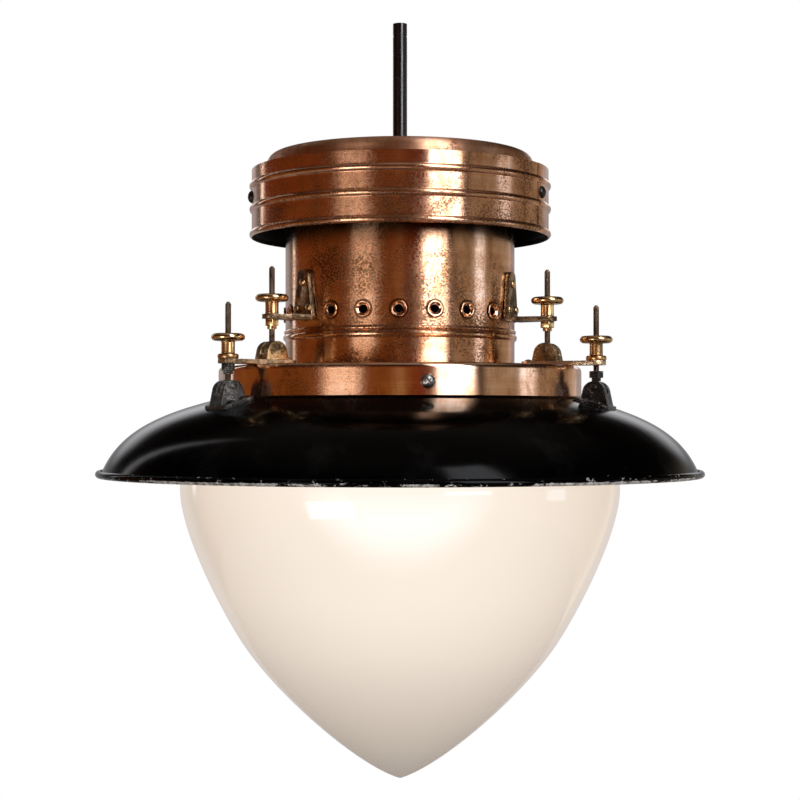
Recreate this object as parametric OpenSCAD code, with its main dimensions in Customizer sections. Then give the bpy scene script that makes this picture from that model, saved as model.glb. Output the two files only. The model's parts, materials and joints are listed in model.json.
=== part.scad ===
// Street gas lamp with a levelling gallery, converted to electric light.
// The stem's top end is the origin and +Z is up. Sizes are in millimetres.

/* [Stem] */
// Outer diameter of the lamp pipe
stem_d = 10; // [9:0.5:13]
// Wall of the lamp pipe
stem_wall = 1; // [0.8:0.1:1.5]
// Length of stem above the cap
stem_show = 93; // [60:1:300]
// Length of the thread at its top end
thread_l = 8; // [6:1:20]
// Diameter of the insulated wires inside
wire_d = 2.4; // [1.6:0.1:2.8]
// Height of the thin nuts on the stem
stem_nut_h = 4; // [3:0.5:6]
// Width of those nuts across flats
stem_nut_af = 14; // [14:0.5:19]
// Thickness of the stem washers
stem_washer_t = 1.5; // [1:0.1:2.5]
// Thickness of the two crossbars
bar_t = 3; // [2:0.5:4]
// Width of the two crossbars
bar_w = 18; // [14:1:24]

/* [Cap] */
// Diameter of the cap band
cap_d = 207; // [195:1:230]
// Width of the step between crown and band
step_w = 11; // [6:0.5:20]
// Height of the raised crown
crown_h = 11; // [6:0.5:20]
// Height of the band
band_h = 47; // [40:1:60]
// Depth of the lid's skirt inside the band
skirt_h = 7; // [4:0.5:9]
// Thickness of the copper sheet of cap and chimney
copper_t = 0.8; // [0.6:0.1:1.2]
// Upper bead, measured down from the top of the band
bead_1_drop = 11.2; // [9:0.1:13]
// Lower bead, measured down from the top of the band
bead_2_drop = 27.3; // [25:0.1:31]
// How far a bead stands out
bead_rise = 1.6; // [1:0.1:2.2]
// Half the height of a bead
bead_half = 2.3; // [1.8:0.1:2.8]
// Head diameter of the black cap screws
cap_screw_head = 8.6; // [7:0.1:10]

/* [Chimney] */
// Diameter of the chimney
chimney_d = 160; // [150:1:168]
// Chimney seen between cap and collar
neck_show = 90; // [84:1:120]
// How far the chimney stands up inside the cap
chimney_in_cap = 22; // [20:1:24]
// How far the chimney reaches down past the collar's top
chimney_dip = 18; // [16:1:22]
// Ring bead, measured up from the collar's top
ring_up = 21.4; // [20:0.1:23]
// Vent eyelets, measured up from the collar's top
eyelet_up = 36.4; // [32:0.1:44]
// Vent eyelets between two brackets
eyelets_per_side = 6; // [3:1:7]
// Outer diameter of an eyelet
eyelet_d = 11; // [9:0.1:13]
// Diameter of the hole through an eyelet
eyelet_hole = 5.4; // [4:0.1:6]

/* [Brackets] */
// Distance from the chimney's skin to the inner rods
arm_reach = 27.5; // [24:0.5:29]
// Top of the arms, measured up from the collar's top
arm_up = 33.3; // [31:0.1:40]
// Thickness of the sheet that plate and arm are bent from
arm_t = 3; // [2.5:0.1:4]
// Width of the plate at the bend
bracket_w = 23; // [21:0.5:28]
// Width of the plate at its top
bracket_top_w = 11; // [9:0.5:14]
// Height of the bracket's plate
bracket_h = 34; // [32:0.5:40]
// Outer radius of the bend between plate and arm
bend_r = 4; // [4:0.5:6]

/* [Collar] */
// Diameter of the collar
collar_d = 252.5; // [248:0.5:258]
// Height of the collar
collar_h = 21; // [20:0.5:26]
// Thickness of the collar's sheet
collar_t = 1.2; // [1:0.1:1.6]
// Glass screws, measured down from the collar's top
glass_screw_drop = 12.3; // [11:0.1:13]
// Thickness of the brass strips
strip_t = 3; // [2.5:0.1:4]
// Width of the brass strips
strip_w = 15; // [14.5:0.5:18]
// How far a strip reaches inside the inner rod
strip_in = 18; // [16.5:0.5:19]
// How far a strip reaches past the outer rod
strip_out = 6.5; // [5:0.5:8]

/* [Levelling bolts] */
// Diameter of the threaded rods
rod_d = 3.8; // [3:0.1:4]
// Rod left above the inner thumb nuts
inner_spare = 18.6; // [17:0.1:30]
// Rod left above the outer thumb nuts
outer_spare = 20.6; // [17:0.1:30]
// Diameter of a thumb nut's rim
thumb_d = 22; // [18:0.5:26]
// Thickness of the rim
thumb_rim = 4.8; // [4:0.1:6]
// Diameter of the hub
hub_d = 9; // [7:0.1:11]
// Height of the hub
hub_h = 8.3; // [6:0.1:12]
// Diameter of the washers under the outer thumb nuts
washer_d = 13.7; // [12:0.1:16]
// Thickness of those washers
washer_t = 3.3; // [2:0.1:4]
// Width of a collar nut across flats
nut_af = 8.4; // [7:0.1:9]
// Height of its hexagon
nut_h = 4.5; // [3:0.1:5]
// Height of its neck
nut_neck_h = 2.2; // [1:0.1:3]
// Share of the way down to its lug that the right-hand outer nut is backed off
nut_backed_off = 1; // [0:0.1:1]

/* [Lugs] */
// Radius of a lug's half-round crown
lug_r = 7.8; // [7.2:0.1:8.4]
// Lean of a lug's sides below the crown, in degrees
lug_lean = 12; // [6:1:14]
// Thickness of a lug over both cheeks
lug_w = 14.4; // [12:0.1:16]
// Height of a brass lug
lug_h = 12.4; // [11.5:0.1:14]
// Height of a black lug's crown above the reflector's neck line
outer_lug_up = 10.4; // [9:0.1:12]
// Width of the slot between the cheeks
slot_w = 4.6; // [4.5:0.1:6]
// Pin, measured down from the crown
pin_drop = 4.2; // [4:0.1:5]
// Diameter of the pin
pin_d = 3; // [2:0.1:3.2]
// Radius of a rod's eye
eye_r = 3.9; // [3:0.1:4]
// Thickness of a black lug's base plate
plate_t = 2; // [1.5:0.1:3]
// Width of that plate round the reflector
plate_w = 27; // [24:0.5:32]
// Length of that plate out along the reflector
plate_l = 24; // [22:0.5:25]
// Head diameter of the small rivets
rivet_d = 5.4; // [4:0.1:6]

/* [Reflector] */
// Diameter over the rolled rim
reflector_d = 420; // [390:1:460]
// Drop from the neck line to the centre of the rim
reflector_drop = 52.3; // [44:0.1:62]
// Thickness of the enamelled sheet
enamel_t = 1.2; // [1:0.1:1.6]
// Radius of the rolled rim
roll_r = 2.5; // [2.2:0.1:4]
// Gap between the collar's foot and the neck line
neck_gap = 0.2; // [0.1:0.1:2]
// Height of the neck that stands up inside the collar
neck_h = 3; // [2:0.1:3.4]
// Gap all round between that neck and the collar
neck_clear = 2.8; // [2:0.1:4]

/* [Globe] */
// Widest diameter of the glass
globe_d = 305.2; // [290:1:320]
// From the lip's seat down to the widest place
globe_shoulder = 74.4; // [70:0.1:90]
// From the widest place down to the point
globe_point = 202.3; // [160:0.1:240]
// Thickness of the glass
glass_t = 4; // [3:0.1:6]
// Height of the lip
lip_h = 5.5; // [4:0.1:7]
// How far the lip stands out from the neck
lip_w = 6; // [5:0.1:7]
// Gap between the lip and the reflector's neck
lip_clear = 2; // [1.5:0.1:4]

/* [Lampholder and bulb] */
// Bulb's contact, measured down from the collar's top
bulb_drop = 38; // [30:1:60]
// Diameter of the bulb's glass
bulb_d = 60; // [45:1:80]
// Length of the bulb
bulb_l = 105; // [98:1:130]
// Diameter of the bulb's screw cap
screw_cap_d = 26.2; // [25:0.1:27]
// Diameter of the lampholder
holder_d = 42; // [38:1:46]
// Depth of the lampholder below the contact
holder_l = 24; // [20:1:26]

/* [Fits] */
// Gap round a part that is fixed in another
seat_gap = 0.1; // [0.05:0.05:0.15]
// Gap round a rod in its nut, and a pin in its hole
run_gap = 0.08; // [0.05:0.01:0.1]
// Gap round a rod in the hole of an arm or strip
rod_gap = 0.4; // [0.3:0.1:0.6]
// Gap between the chimney and the collar that slides on it
slide_gap = 0.6; // [0.4:0.1:0.9]

/* [Hidden] */
$fn = 96;

// Angles of the three sets, from +X: a at the left, b at the right, c at the back
SET_A = -150;
SET_B = -30;
SET_C = 90;
SETS = [SET_A, SET_B, SET_C];
// The glass screws stand midway between the sets
BETWEEN = [for (a = SETS) a + 60];
// The lap seam's screw stands at the same angle as set b, and the bar's screws on the X axis
CAP_SCREWS = [0, 180, SET_B];

copper = [0.72, 0.40, 0.24];
brass = [0.72, 0.55, 0.28];
old_brass = [0.42, 0.34, 0.18];
steel = [0.45, 0.40, 0.35];
black = [0.05, 0.05, 0.05];
opal = [0.95, 0.90, 0.84];
porcelain = [0.92, 0.91, 0.88];

// Heights, from the top down
crown_z = -stem_show;
step_z = crown_z - crown_h;
rim_z = step_z - band_h;
cap_screw_z = step_z - (bead_1_drop + bead_2_drop) / 2;
chimney_top_z = rim_z + chimney_in_cap;
collar_z = rim_z - neck_show;
chimney_foot_z = collar_z - chimney_dip;
arm_z = collar_z + arm_up;
strip_z = collar_z + strip_t;
inner_crown_z = strip_z + lug_h;
inner_pin_z = inner_crown_z - pin_drop;
collar_foot_z = collar_z - collar_h;
neck_z = collar_foot_z - neck_gap;
outer_crown_z = neck_z + outer_lug_up;
outer_pin_z = outer_crown_z - pin_drop;
glass_screw_z = collar_z - glass_screw_drop;
tip_z = collar_z - bulb_drop;
// How far each set's black nut stands below its place, the right-hand one down to its lug at most
nut_foot_z = collar_z - 3 * seat_gap - nut_h - nut_neck_h;
BACKED_OFF = [0, nut_backed_off * max(nut_foot_z - outer_crown_z, 0), 0];

// Radii
cap_r = cap_d / 2;
chimney_r = chimney_d / 2;
collar_r = collar_d / 2;
inner_r = chimney_r + arm_reach;
outer_reach = 15.3;
outer_r = collar_r + outer_reach;
neck_r = collar_r - collar_t - neck_clear;
lip_r = neck_r - enamel_t - lip_clear;
glass_r = lip_r - lip_w;
roll_c = reflector_d / 2 - roll_r;
rod_r = rod_d / 2;
rod_hole = rod_r + rod_gap;
thread_hole = rod_r + run_gap;

// Screws and rivets
glass_screw_d = 5;
glass_screw_head = 9.4;
glass_screw_grip = 0.5;
glass_nut_h = 4;
glass_nut_af = 8;
cap_screw_shank = 4;
cap_screw_l = 9;
cap_nut_af = 7;
cap_nut_h = 3.2;
rivet_shank = 3;
rivet_rise = 1.5;
tang_d = 6;
bar_rivet_d = 8;
bar_rivet_shank = 4;
bar_tab_up = 16;
bar_rivet_up = 10;
cap_tab_up = 7.5;
cap_tab_down = 6;

// Curves and outlines

function unit(v) = v / norm(v);

function arc(c, r, from, to, n, first = 0) =
    [for (i = [first:n]) let (q = from + (to - from) * i / n) c + r * [cos(q), sin(q)]];

function curve(p, n, first = 0) =
    [for (i = [first:n]) let (t = i / n, s = 1 - t)
        s * s * s * p[0] + 3 * s * s * t * p[1] + 3 * s * t * t * p[2] + t * t * t * p[3]];

// The round corner of radius r at b, on the way from a to c
function corner(a, b, c, r, n = 5) =
    r == 0 ? [b] :
    let (u = unit(a - b), v = unit(c - b), half = acos(u * v) / 2,
         m = b + unit(u + v) * r / sin(half),
         s = b + u * r / tan(half) - m, e = b + v * r / tan(half) - m,
         turn = sign(cross(s, e)) * (180 - 2 * half))
    arc(m, r, atan2(s.y, s.x), atan2(s.y, s.x) + turn, n);

// A closed outline from [x, y, corner radius] points
function rounded(p, n = 5) =
    [for (i = [0:len(p) - 1])
        let (a = p[(i + len(p) - 1) % len(p)], b = p[i], c = p[(i + 1) % len(p)])
        each corner([a.x, a.y], [b.x, b.y], [c.x, c.y], b.z, n)];

function right_of(a, b) = let (d = unit(b - a)) [d.y, -d.x];

// The path moved to its right by t
function beside(p, t) =
    [for (i = [0:len(p) - 1])
        let (n0 = right_of(p[max(i - 1, 0)], p[max(i, 1)]),
             n1 = right_of(p[min(i, len(p) - 2)], p[min(i + 1, len(p) - 1)]),
             m = unit(n0 + n1))
        p[i] + m * t / (m * n1)];

function reversed(p) = [for (i = [len(p) - 1:-1:0]) p[i]];

// The section of a sheet of thickness t whose outer skin is the path
function sheet(p, t) = concat(p, reversed(beside(p, t)));

// A bead swaged into a wall at radius r, from its upper edge to its lower one
function bead(r, z, rise, half, n = 8) =
    let (br = (rise * rise + half * half) / (2 * rise), q = asin(half / br))
    arc([r + rise - br, z], br, q, -q, n);

function dome(r, h, n = 6) = [for (i = [0:n]) [r * cos(90 * i / n), h * sin(90 * i / n)]];

module around(angles) {
    for (a = angles) rotate(a) children();
}

// Turns a shape that stands along Z to point out along X
module outward() {
    rotate([0, 90, 0]) children();
}

// Small hardware

module round_head(d, h) {
    rotate_extrude() polygon(concat([[0, 0]], dome(d / 2, h)));
}

// A round-head screw with a cross recess, its head on the plane z = 0 and its shank below
module cross_screw(head_d, head_h, shank_d, length) {
    recess = head_d * 0.5;
    slot = head_d * 0.11;
    difference() {
        union() {
            round_head(head_d, head_h);
            translate([0, 0, -length]) cylinder(d = shank_d, h = length);
        }
        for (a = [45, 135])
            rotate(a) translate([-recess / 2, -slot / 2, head_h * 0.5])
                cube([recess, slot, head_h]);
    }
}

// A rivet through a grip, its upper head on the plane z = 0 and its lower head under the grip
module rivet(head_d, rise, shank_d, grip) {
    round_head(head_d, rise);
    translate([0, 0, -grip]) cylinder(d = shank_d, h = grip);
    translate([0, 0, -grip]) mirror([0, 0, 1]) round_head(head_d * 0.8, rise * 0.7);
}

module hex_nut(af, h, hole_r) {
    difference() {
        cylinder(d = af / cos(30), h = h, $fn = 6);
        translate([0, 0, -1]) cylinder(r = hole_r, h = h + 2);
    }
}

// Stem

// The thread ends in a shallow groove
run_out_w = 1.2;
run_out_depth = 0.3;
stem_foot_z = tip_z + 16;
cap_bar_z = cap_screw_z + cap_tab_up;
chimney_bar_z = chimney_top_z - bar_tab_up - bar_t;
BARS = [cap_bar_z, chimney_bar_z];

module stem_tube() {
    color(black) difference() {
        translate([0, 0, stem_foot_z]) cylinder(d = stem_d, h = -stem_foot_z);
        translate([0, 0, stem_foot_z - 1]) cylinder(d = stem_d - 2 * stem_wall, h = 2 - stem_foot_z);
        translate([0, 0, -thread_l - run_out_w]) difference() {
            cylinder(d = stem_d + 2, h = run_out_w);
            translate([0, 0, -1]) cylinder(d = stem_d - 2 * run_out_depth, h = run_out_w + 2);
        }
    }
}

module stem_nuts() {
    hole_r = stem_d / 2 + seat_gap;
    color(steel) for (z = BARS) {
        translate([0, 0, z + bar_t + stem_washer_t]) hex_nut(stem_nut_af, stem_nut_h, hole_r);
        translate([0, 0, z - stem_washer_t - stem_nut_h]) hex_nut(stem_nut_af, stem_nut_h, hole_r);
    }
}

module stem_washers() {
    color(steel) for (z = BARS, side = [bar_t, -stem_washer_t])
        translate([0, 0, z + side]) difference() {
            cylinder(d = stem_nut_af + 5, h = stem_washer_t);
            translate([0, 0, -1]) cylinder(r = stem_d / 2 + seat_gap, h = stem_washer_t + 2);
        }
}

// A straight bar with a tab at each end that fits inside a tube of radius r, drilled for the stem
module crossbar(r, tab_low, tab_high) {
    difference() {
        intersection() {
            union() {
                translate([-r, -bar_w / 2, 0]) cube([2 * r, bar_w, bar_t]);
                for (side = [0, 180])
                    rotate(side) translate([r - bar_t - 1, -bar_w / 2, tab_low])
                        cube([bar_t + 1, bar_w, tab_high - tab_low]);
            }
            translate([0, 0, tab_low - 1]) cylinder(r = r - seat_gap, h = tab_high - tab_low + 2);
        }
        translate([0, 0, -1]) cylinder(r = stem_d / 2 + seat_gap, h = bar_t + 2);
    }
}

module lead_wires() {
    wire_x = wire_d / 2 + 0.05;
    color(black) for (side = [1, -1]) {
        foot = side > 0 ? contact_x : -shell_x;
        bend_z = stem_foot_z - 2;
        top_z = tip_z + terminal_top;
        translate([side * wire_x, 0, bend_z]) {
            cylinder(d = wire_d, h = -bend_z - 1);
            sphere(d = 1.15 * wire_d);
        }
        run = foot - side * wire_x;
        fall = bend_z - top_z;
        translate([foot, 0, top_z]) rotate([0, -atan2(run, fall), 0])
            translate([0, 0, 0.7 * wire_d]) cylinder(d = wire_d, h = norm([run, fall]) - 0.7 * wire_d);
    }
}

// Cap

module cap_lid() {
    crown_r = cap_r - step_w;
    skirt_r = cap_r - copper_t - seat_gap / 2;
    path = concat(
        [[stem_d / 2 + seat_gap, crown_z]],
        corner([0, crown_z], [crown_r, crown_z], [crown_r, step_z], 2.5),
        corner([crown_r, crown_z], [crown_r, step_z], [skirt_r, step_z], 1, 3),
        corner([crown_r, step_z], [skirt_r, step_z], [skirt_r, step_z - skirt_h], 1.2, 4),
        [[skirt_r, step_z - skirt_h]]);
    color(copper) rotate_extrude() polygon(sheet(path, copper_t));
}

// The band's outer skin, from its top edge to the rim bead at its foot
band_path = concat(
    [[cap_r, step_z - seat_gap]],
    bead(cap_r, step_z - bead_1_drop, bead_rise, bead_half),
    bead(cap_r, step_z - bead_2_drop, bead_rise, bead_half),
    bead(cap_r, rim_z + bead_half, bead_rise, bead_half));

module cap_band() {
    color(copper) difference() {
        rotate_extrude() polygon(sheet(band_path, copper_t));
        around(CAP_SCREWS) translate([cap_r - 5, 0, cap_screw_z]) outward()
            cylinder(r = cap_screw_shank / 2 + seat_gap, h = 10);
    }
}

module cap_screws() {
    color(black) around(CAP_SCREWS) translate([cap_r + seat_gap / 2, 0, cap_screw_z]) outward()
        cross_screw(cap_screw_head, 2.8, cap_screw_shank, cap_screw_l);
}

module cap_screw_nuts() {
    wall_r = cap_r - copper_t - seat_gap;
    color(steel) for (a = CAP_SCREWS) {
        seat_r = a == SET_B ? wall_r - seat_gap : wall_r - bar_t - 1;
        rotate(a) translate([seat_r - cap_nut_h, 0, cap_screw_z]) outward()
            hex_nut(cap_nut_af, cap_nut_h, cap_screw_shank / 2 + seat_gap);
    }
}

module cap_crossbar() {
    tube_r = cap_r - copper_t;
    color(steel) difference() {
        translate([0, 0, cap_bar_z]) crossbar(tube_r, -cap_tab_up - cap_tab_down, bar_t);
        around([0, 180]) translate([tube_r - 8, 0, cap_screw_z]) outward()
            cylinder(r = cap_screw_shank / 2 + seat_gap, h = 10);
    }
}

// Chimney

eyelet_z = collar_z + eyelet_up;
ring_z = collar_z + ring_up;
eyelet_step = 120 / (eyelets_per_side + 1);
EYELETS = [for (a = SETS, i = [1:eyelets_per_side]) a + i * eyelet_step];
eyelet_barrel = eyelet_hole / 2 + 0.7;
bar_rivet_z = chimney_bar_z + bar_t + bar_rivet_up;
arm_foot_z = arm_z - arm_t;
plate_skin = chimney_r + seat_gap / 2;
top_rivet_drop = 8.5;
foot_rivet_up = 8;
foot_rivet_y = bracket_w / 2 - 4.4;
RIVETS_ON_PLATE = [[0, bracket_h - top_rivet_drop], [foot_rivet_y, foot_rivet_up],
                   [-foot_rivet_y, foot_rivet_up]];

module chimney_tube() {
    path = concat(
        [[chimney_r, chimney_top_z]],
        bead(chimney_r, ring_z + 2.7, 1, 1.3, 5),
        bead(chimney_r, ring_z - 1.2, 1.6, 2.5),
        [[chimney_r, chimney_foot_z]]);
    color(copper) difference() {
        rotate_extrude() polygon(sheet(path, copper_t));
        around(EYELETS) translate([chimney_r - 5, 0, eyelet_z]) outward()
            cylinder(r = eyelet_barrel + seat_gap, h = 10);
        around(SETS) plate_rivet_holes();
        around([90, 270]) translate([chimney_r - 5, 0, bar_rivet_z]) outward()
            cylinder(r = bar_rivet_shank / 2 + seat_gap, h = 10);
    }
}

// A rolled copper eyelet: a barrel through the wall, a dished face and a raised ring
module eyelet() {
    hole = eyelet_hole / 2;
    edge = eyelet_d / 2;
    tail = copper_t + 1.2;
    rotate_extrude() polygon(rounded([
        [hole, -tail, 0.2], [eyelet_barrel, -tail, 0.2],
        [eyelet_barrel, 0, 0], [edge, 0, 0.2],
        [edge, 1.2, 0.5], [edge - 1.2, 1.2, 0.4],
        [eyelet_barrel + 0.2, 0.45, 0.5], [hole, -0.4, 0.4]], 3));
}

module vent_eyelets() {
    color(copper) around(EYELETS) translate([chimney_r + seat_gap / 2, 0, eyelet_z]) outward() eyelet();
}

module chimney_crossbar() {
    tube_r = chimney_r - copper_t;
    color(steel) difference() {
        translate([0, 0, chimney_bar_z]) rotate(90) crossbar(tube_r, 0, bar_t + bar_tab_up);
        around([90, 270]) translate([tube_r - 8, 0, bar_rivet_z]) outward()
            cylinder(r = bar_rivet_shank / 2 + seat_gap, h = 10);
    }
}

module chimney_rivets() {
    color(copper) around([90, 270]) translate([chimney_r + seat_gap / 2, 0, bar_rivet_z]) outward()
        rivet(bar_rivet_d, 2, bar_rivet_shank, copper_t + bar_t + 1 + 2 * seat_gap);
}

// Brackets

// The holes for one plate's rivets, through the plate and the chimney's wall
module plate_rivet_holes() {
    for (p = RIVETS_ON_PLATE) translate([chimney_r - 6, p.x, arm_foot_z + p.y]) outward()
        cylinder(r = rivet_shank / 2 + seat_gap, h = 12);
}

// A plate flat against the chimney and an arm for the rod, bent from one sheet
module bracket(a) {
    edge = bracket_w / 2;
    top_edge = bracket_top_w / 2;
    tip_r = hub_d / 2 + 2;
    bend_x = plate_skin + bend_r;
    past = inner_r + tip_r + 1;
    // The arm's sides run from the bend as tangents to its round tip
    reach = norm([inner_r - bend_x, edge]);
    lean = acos(tip_r / reach) - atan2(inner_r - bend_x, edge);
    touch = [inner_r + tip_r * sin(lean), tip_r * cos(lean)];
    plate = rounded([[-edge, -1, 0], [edge, -1, 0], [top_edge, bracket_h, 0.9 * top_edge],
                     [-top_edge, bracket_h, 0.9 * top_edge]], 8);
    bent = rounded([[plate_skin, bracket_h + 1, 0], [plate_skin, 0, bend_r], [past, 0, 0],
                    [past, arm_t, 0], [plate_skin + arm_t, arm_t, max(bend_r - arm_t, 0.5)],
                    [plate_skin + arm_t, bracket_h + 1, 0]], 8);
    color(old_brass) rotate(a) difference() {
        intersection() {
            translate([0, edge + 1, arm_foot_z]) rotate([90, 0, 0]) linear_extrude(bracket_w + 2)
                polygon(bent);
            union() {
                translate([plate_skin - 1, 0, arm_foot_z]) rotate([90, 0, 90])
                    linear_extrude(bend_r + 1) polygon(plate);
                translate([0, 0, arm_foot_z - 1]) linear_extrude(arm_t + 1 + 0.5) polygon([
                    [plate_skin - 1, edge], [bend_x, edge], touch, [touch.x, -touch.y],
                    [bend_x, -edge], [plate_skin - 1, -edge]]);
                translate([inner_r, 0, arm_foot_z - 1]) cylinder(r = tip_r, h = arm_t + 2);
            }
        }
        translate([inner_r, 0, arm_foot_z - 1]) cylinder(r = rod_hole, h = arm_t + 2);
        plate_rivet_holes();
    }
}

module bracket_a() bracket(SET_A);
module bracket_b() bracket(SET_B);
module bracket_c() bracket(SET_C);

// The inner heads stand off the round wall just enough for their flat undersides
module bracket_rivets() {
    head_r = 0.4 * rivet_d;
    outer_x = plate_skin + arm_t + seat_gap;
    color(old_brass) around(SETS) for (p = RIVETS_ON_PLATE) {
        far_edge = abs(p.x) + head_r;
        inner_x = sqrt(pow(chimney_r - copper_t, 2) - far_edge * far_edge) - seat_gap;
        translate([outer_x, p.x, arm_foot_z + p.y]) outward()
            rivet(rivet_d, rivet_rise, rivet_shank, outer_x - inner_x);
    }
}

// Collar and its strips

module collar() {
    hole_r = chimney_r + slide_gap;
    path = concat(
        [[hole_r, collar_z]],
        corner([hole_r, collar_z], [collar_r, collar_z], [collar_r, collar_foot_z], 3.5, 6),
        [[collar_r, collar_foot_z]]);
    color(copper) difference() {
        rotate_extrude() polygon(sheet(path, collar_t));
        around(SETS) {
            translate([inner_r, 0, collar_z - 5]) cylinder(r = tang_d / 2 + seat_gap, h = 10);
            translate([strip_rivet_r, 0, collar_z - 5]) cylinder(r = rivet_shank / 2 + seat_gap, h = 10);
        }
        around(BETWEEN) translate([collar_r - 5, 0, glass_screw_z]) outward()
            cylinder(r = glass_screw_d / 2 + run_gap, h = 10);
    }
}

strip_rivet_r = inner_r - strip_in + 4.5;

module strip(a) {
    r = strip_w / 2;
    x0 = inner_r - strip_in + r;
    x1 = outer_r + strip_out - r;
    color(brass) rotate(a) translate([0, 0, collar_z]) difference() {
        union() {
            translate([x0, -r, 0]) cube([x1 - x0, strip_w, strip_t]);
            translate([x0, 0, 0]) cylinder(r = r, h = strip_t);
            translate([x1, 0, 0]) cylinder(r = r, h = strip_t);
        }
        translate([outer_r, 0, -1]) cylinder(r = rod_hole, h = strip_t + 2);
        translate([inner_r, 0, -1]) cylinder(r = tang_d / 2 + seat_gap, h = strip_t + 2);
        translate([strip_rivet_r, 0, -1]) cylinder(r = rivet_shank / 2 + seat_gap, h = strip_t + 2);
    }
}

module strip_a() strip(SET_A);
module strip_b() strip(SET_B);
module strip_c() strip(SET_C);

module strip_rivets() {
    color(brass) around(SETS) translate([strip_rivet_r, 0, strip_z])
        rivet(rivet_d, rivet_rise, rivet_shank, strip_t + collar_t);
}

module glass_screw_nuts() {
    color(brass) around(BETWEEN)
        translate([collar_r - collar_t - seat_gap - glass_nut_h, 0, glass_screw_z]) outward()
            hex_nut(glass_nut_af, glass_nut_h, glass_screw_d / 2 + run_gap);
}

// Lugs and their pins

// A slotted lug with a half-round crown on the plane z = 0 and leaning sides, bored for its pin
module lug_block(height) {
    slot_depth = pin_drop + eye_r + 0.6;
    // The sides run down from the crown as its tangents
    touch = lug_r * [cos(lug_lean), sin(lug_lean)] - [0, lug_r];
    foot = touch.x + (height + touch.y) * tan(lug_lean);
    difference() {
        translate([0, lug_w / 2, 0]) rotate([90, 0, 0]) {
            intersection() {
                translate([0, -lug_r, 0]) cylinder(r = lug_r, h = lug_w);
                translate([-lug_r, touch.y - 0.5, 0]) cube([2 * lug_r, lug_r, lug_w]);
            }
            linear_extrude(lug_w)
                polygon([touch, [-touch.x, touch.y], [-foot, -height], [foot, -height]]);
        }
        translate([-foot - 1, -slot_w / 2, -slot_depth]) cube([2 * foot + 2, slot_w, slot_depth + 1]);
        translate([0, lug_w, -pin_drop]) rotate([90, 0, 0])
            cylinder(r = pin_d / 2 + run_gap, h = 2 * lug_w);
    }
}

module lug_pin() {
    end = lug_w / 2 + seat_gap;
    rotate([90, 0, 0]) translate([0, 0, -end]) cylinder(d = pin_d, h = 2 * end);
    for (side = [90, -90]) rotate([side, 0, 0]) translate([0, 0, end]) round_head(pin_d + 1.4, 0.8);
}

module inner_lug(a) {
    color(old_brass) rotate(a) translate([inner_r, 0, inner_crown_z]) {
        lug_block(lug_h);
        through = strip_t + collar_t;
        translate([0, 0, -lug_h - through]) cylinder(d = tang_d, h = through + 0.5);
        translate([0, 0, -lug_h - through]) mirror([0, 0, 1]) round_head(tang_d + 2.4, 1.4);
    }
}

module inner_lug_a() inner_lug(SET_A);
module inner_lug_b() inner_lug(SET_B);
module inner_lug_c() inner_lug(SET_C);

module inner_pins() {
    color(steel) around(SETS) translate([inner_r, 0, inner_pin_z]) lug_pin();
}

// Rods and nuts

// A threaded rod with an eye at the origin and a coned tip
module eye_rod(length) {
    cone = rod_r * 0.8;
    difference() {
        union() {
            translate([0, 2, 0]) rotate([90, 0, 0]) cylinder(r = eye_r, h = 4);
            cylinder(r = rod_r, h = length - cone);
            translate([0, 0, length - cone]) cylinder(r1 = rod_r, r2 = rod_r * 0.4, h = cone);
        }
        translate([0, 5, 0]) rotate([90, 0, 0]) cylinder(r = pin_d / 2 + run_gap, h = 10);
    }
}

module inner_rod(a) {
    top_z = arm_z + seat_gap + hub_h + thumb_rim + inner_spare;
    color(steel) rotate(a) translate([inner_r, 0, inner_pin_z]) eye_rod(top_z - inner_pin_z);
}

module inner_rod_a() inner_rod(SET_A);
module inner_rod_b() inner_rod(SET_B);
module inner_rod_c() inner_rod(SET_C);

module outer_rod(a) {
    top_z = strip_z + washer_t + seat_gap + hub_h + thumb_rim + outer_spare;
    color(steel) rotate(a) translate([outer_r, 0, outer_pin_z]) eye_rod(top_z - outer_pin_z);
}

module outer_rod_a() outer_rod(SET_A);
module outer_rod_b() outer_rod(SET_B);
module outer_rod_c() outer_rod(SET_C);

// A turned nut with a round rim on a hub, its foot on the plane z = 0
module thumb_nut() {
    edge = thumb_d / 2;
    hub = hub_d / 2;
    top = hub_h + thumb_rim;
    round_r = thumb_rim * 0.46;
    rotate_extrude() polygon(rounded([
        [thread_hole, 0, 0], [hub, 0, 0.4], [hub, hub_h, 0.7], [edge, hub_h, round_r],
        [edge, top, round_r], [hub + 2.6, top, 0.6], [hub + 1.8, top - 0.8, 0.4],
        [thread_hole, top - 0.8, 0]], 6));
}

module inner_thumb_nut(a) {
    color(brass) rotate(a) translate([inner_r, 0, arm_z + seat_gap]) thumb_nut();
}

module inner_thumb_nut_a() inner_thumb_nut(SET_A);
module inner_thumb_nut_b() inner_thumb_nut(SET_B);
module inner_thumb_nut_c() inner_thumb_nut(SET_C);

module outer_thumb_nut(a) {
    color(brass) rotate(a) translate([outer_r, 0, strip_z + washer_t + seat_gap]) thumb_nut();
}

module outer_thumb_nut_a() outer_thumb_nut(SET_A);
module outer_thumb_nut_b() outer_thumb_nut(SET_B);
module outer_thumb_nut_c() outer_thumb_nut(SET_C);

module outer_washers() {
    color(brass) around(SETS) translate([outer_r, 0, strip_z]) rotate_extrude()
        polygon(rounded([[rod_hole, 0, 0], [washer_d / 2, 0, 1], [washer_d / 2, washer_t, 1],
                         [rod_hole, washer_t, 0]], 4));
}

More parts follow.
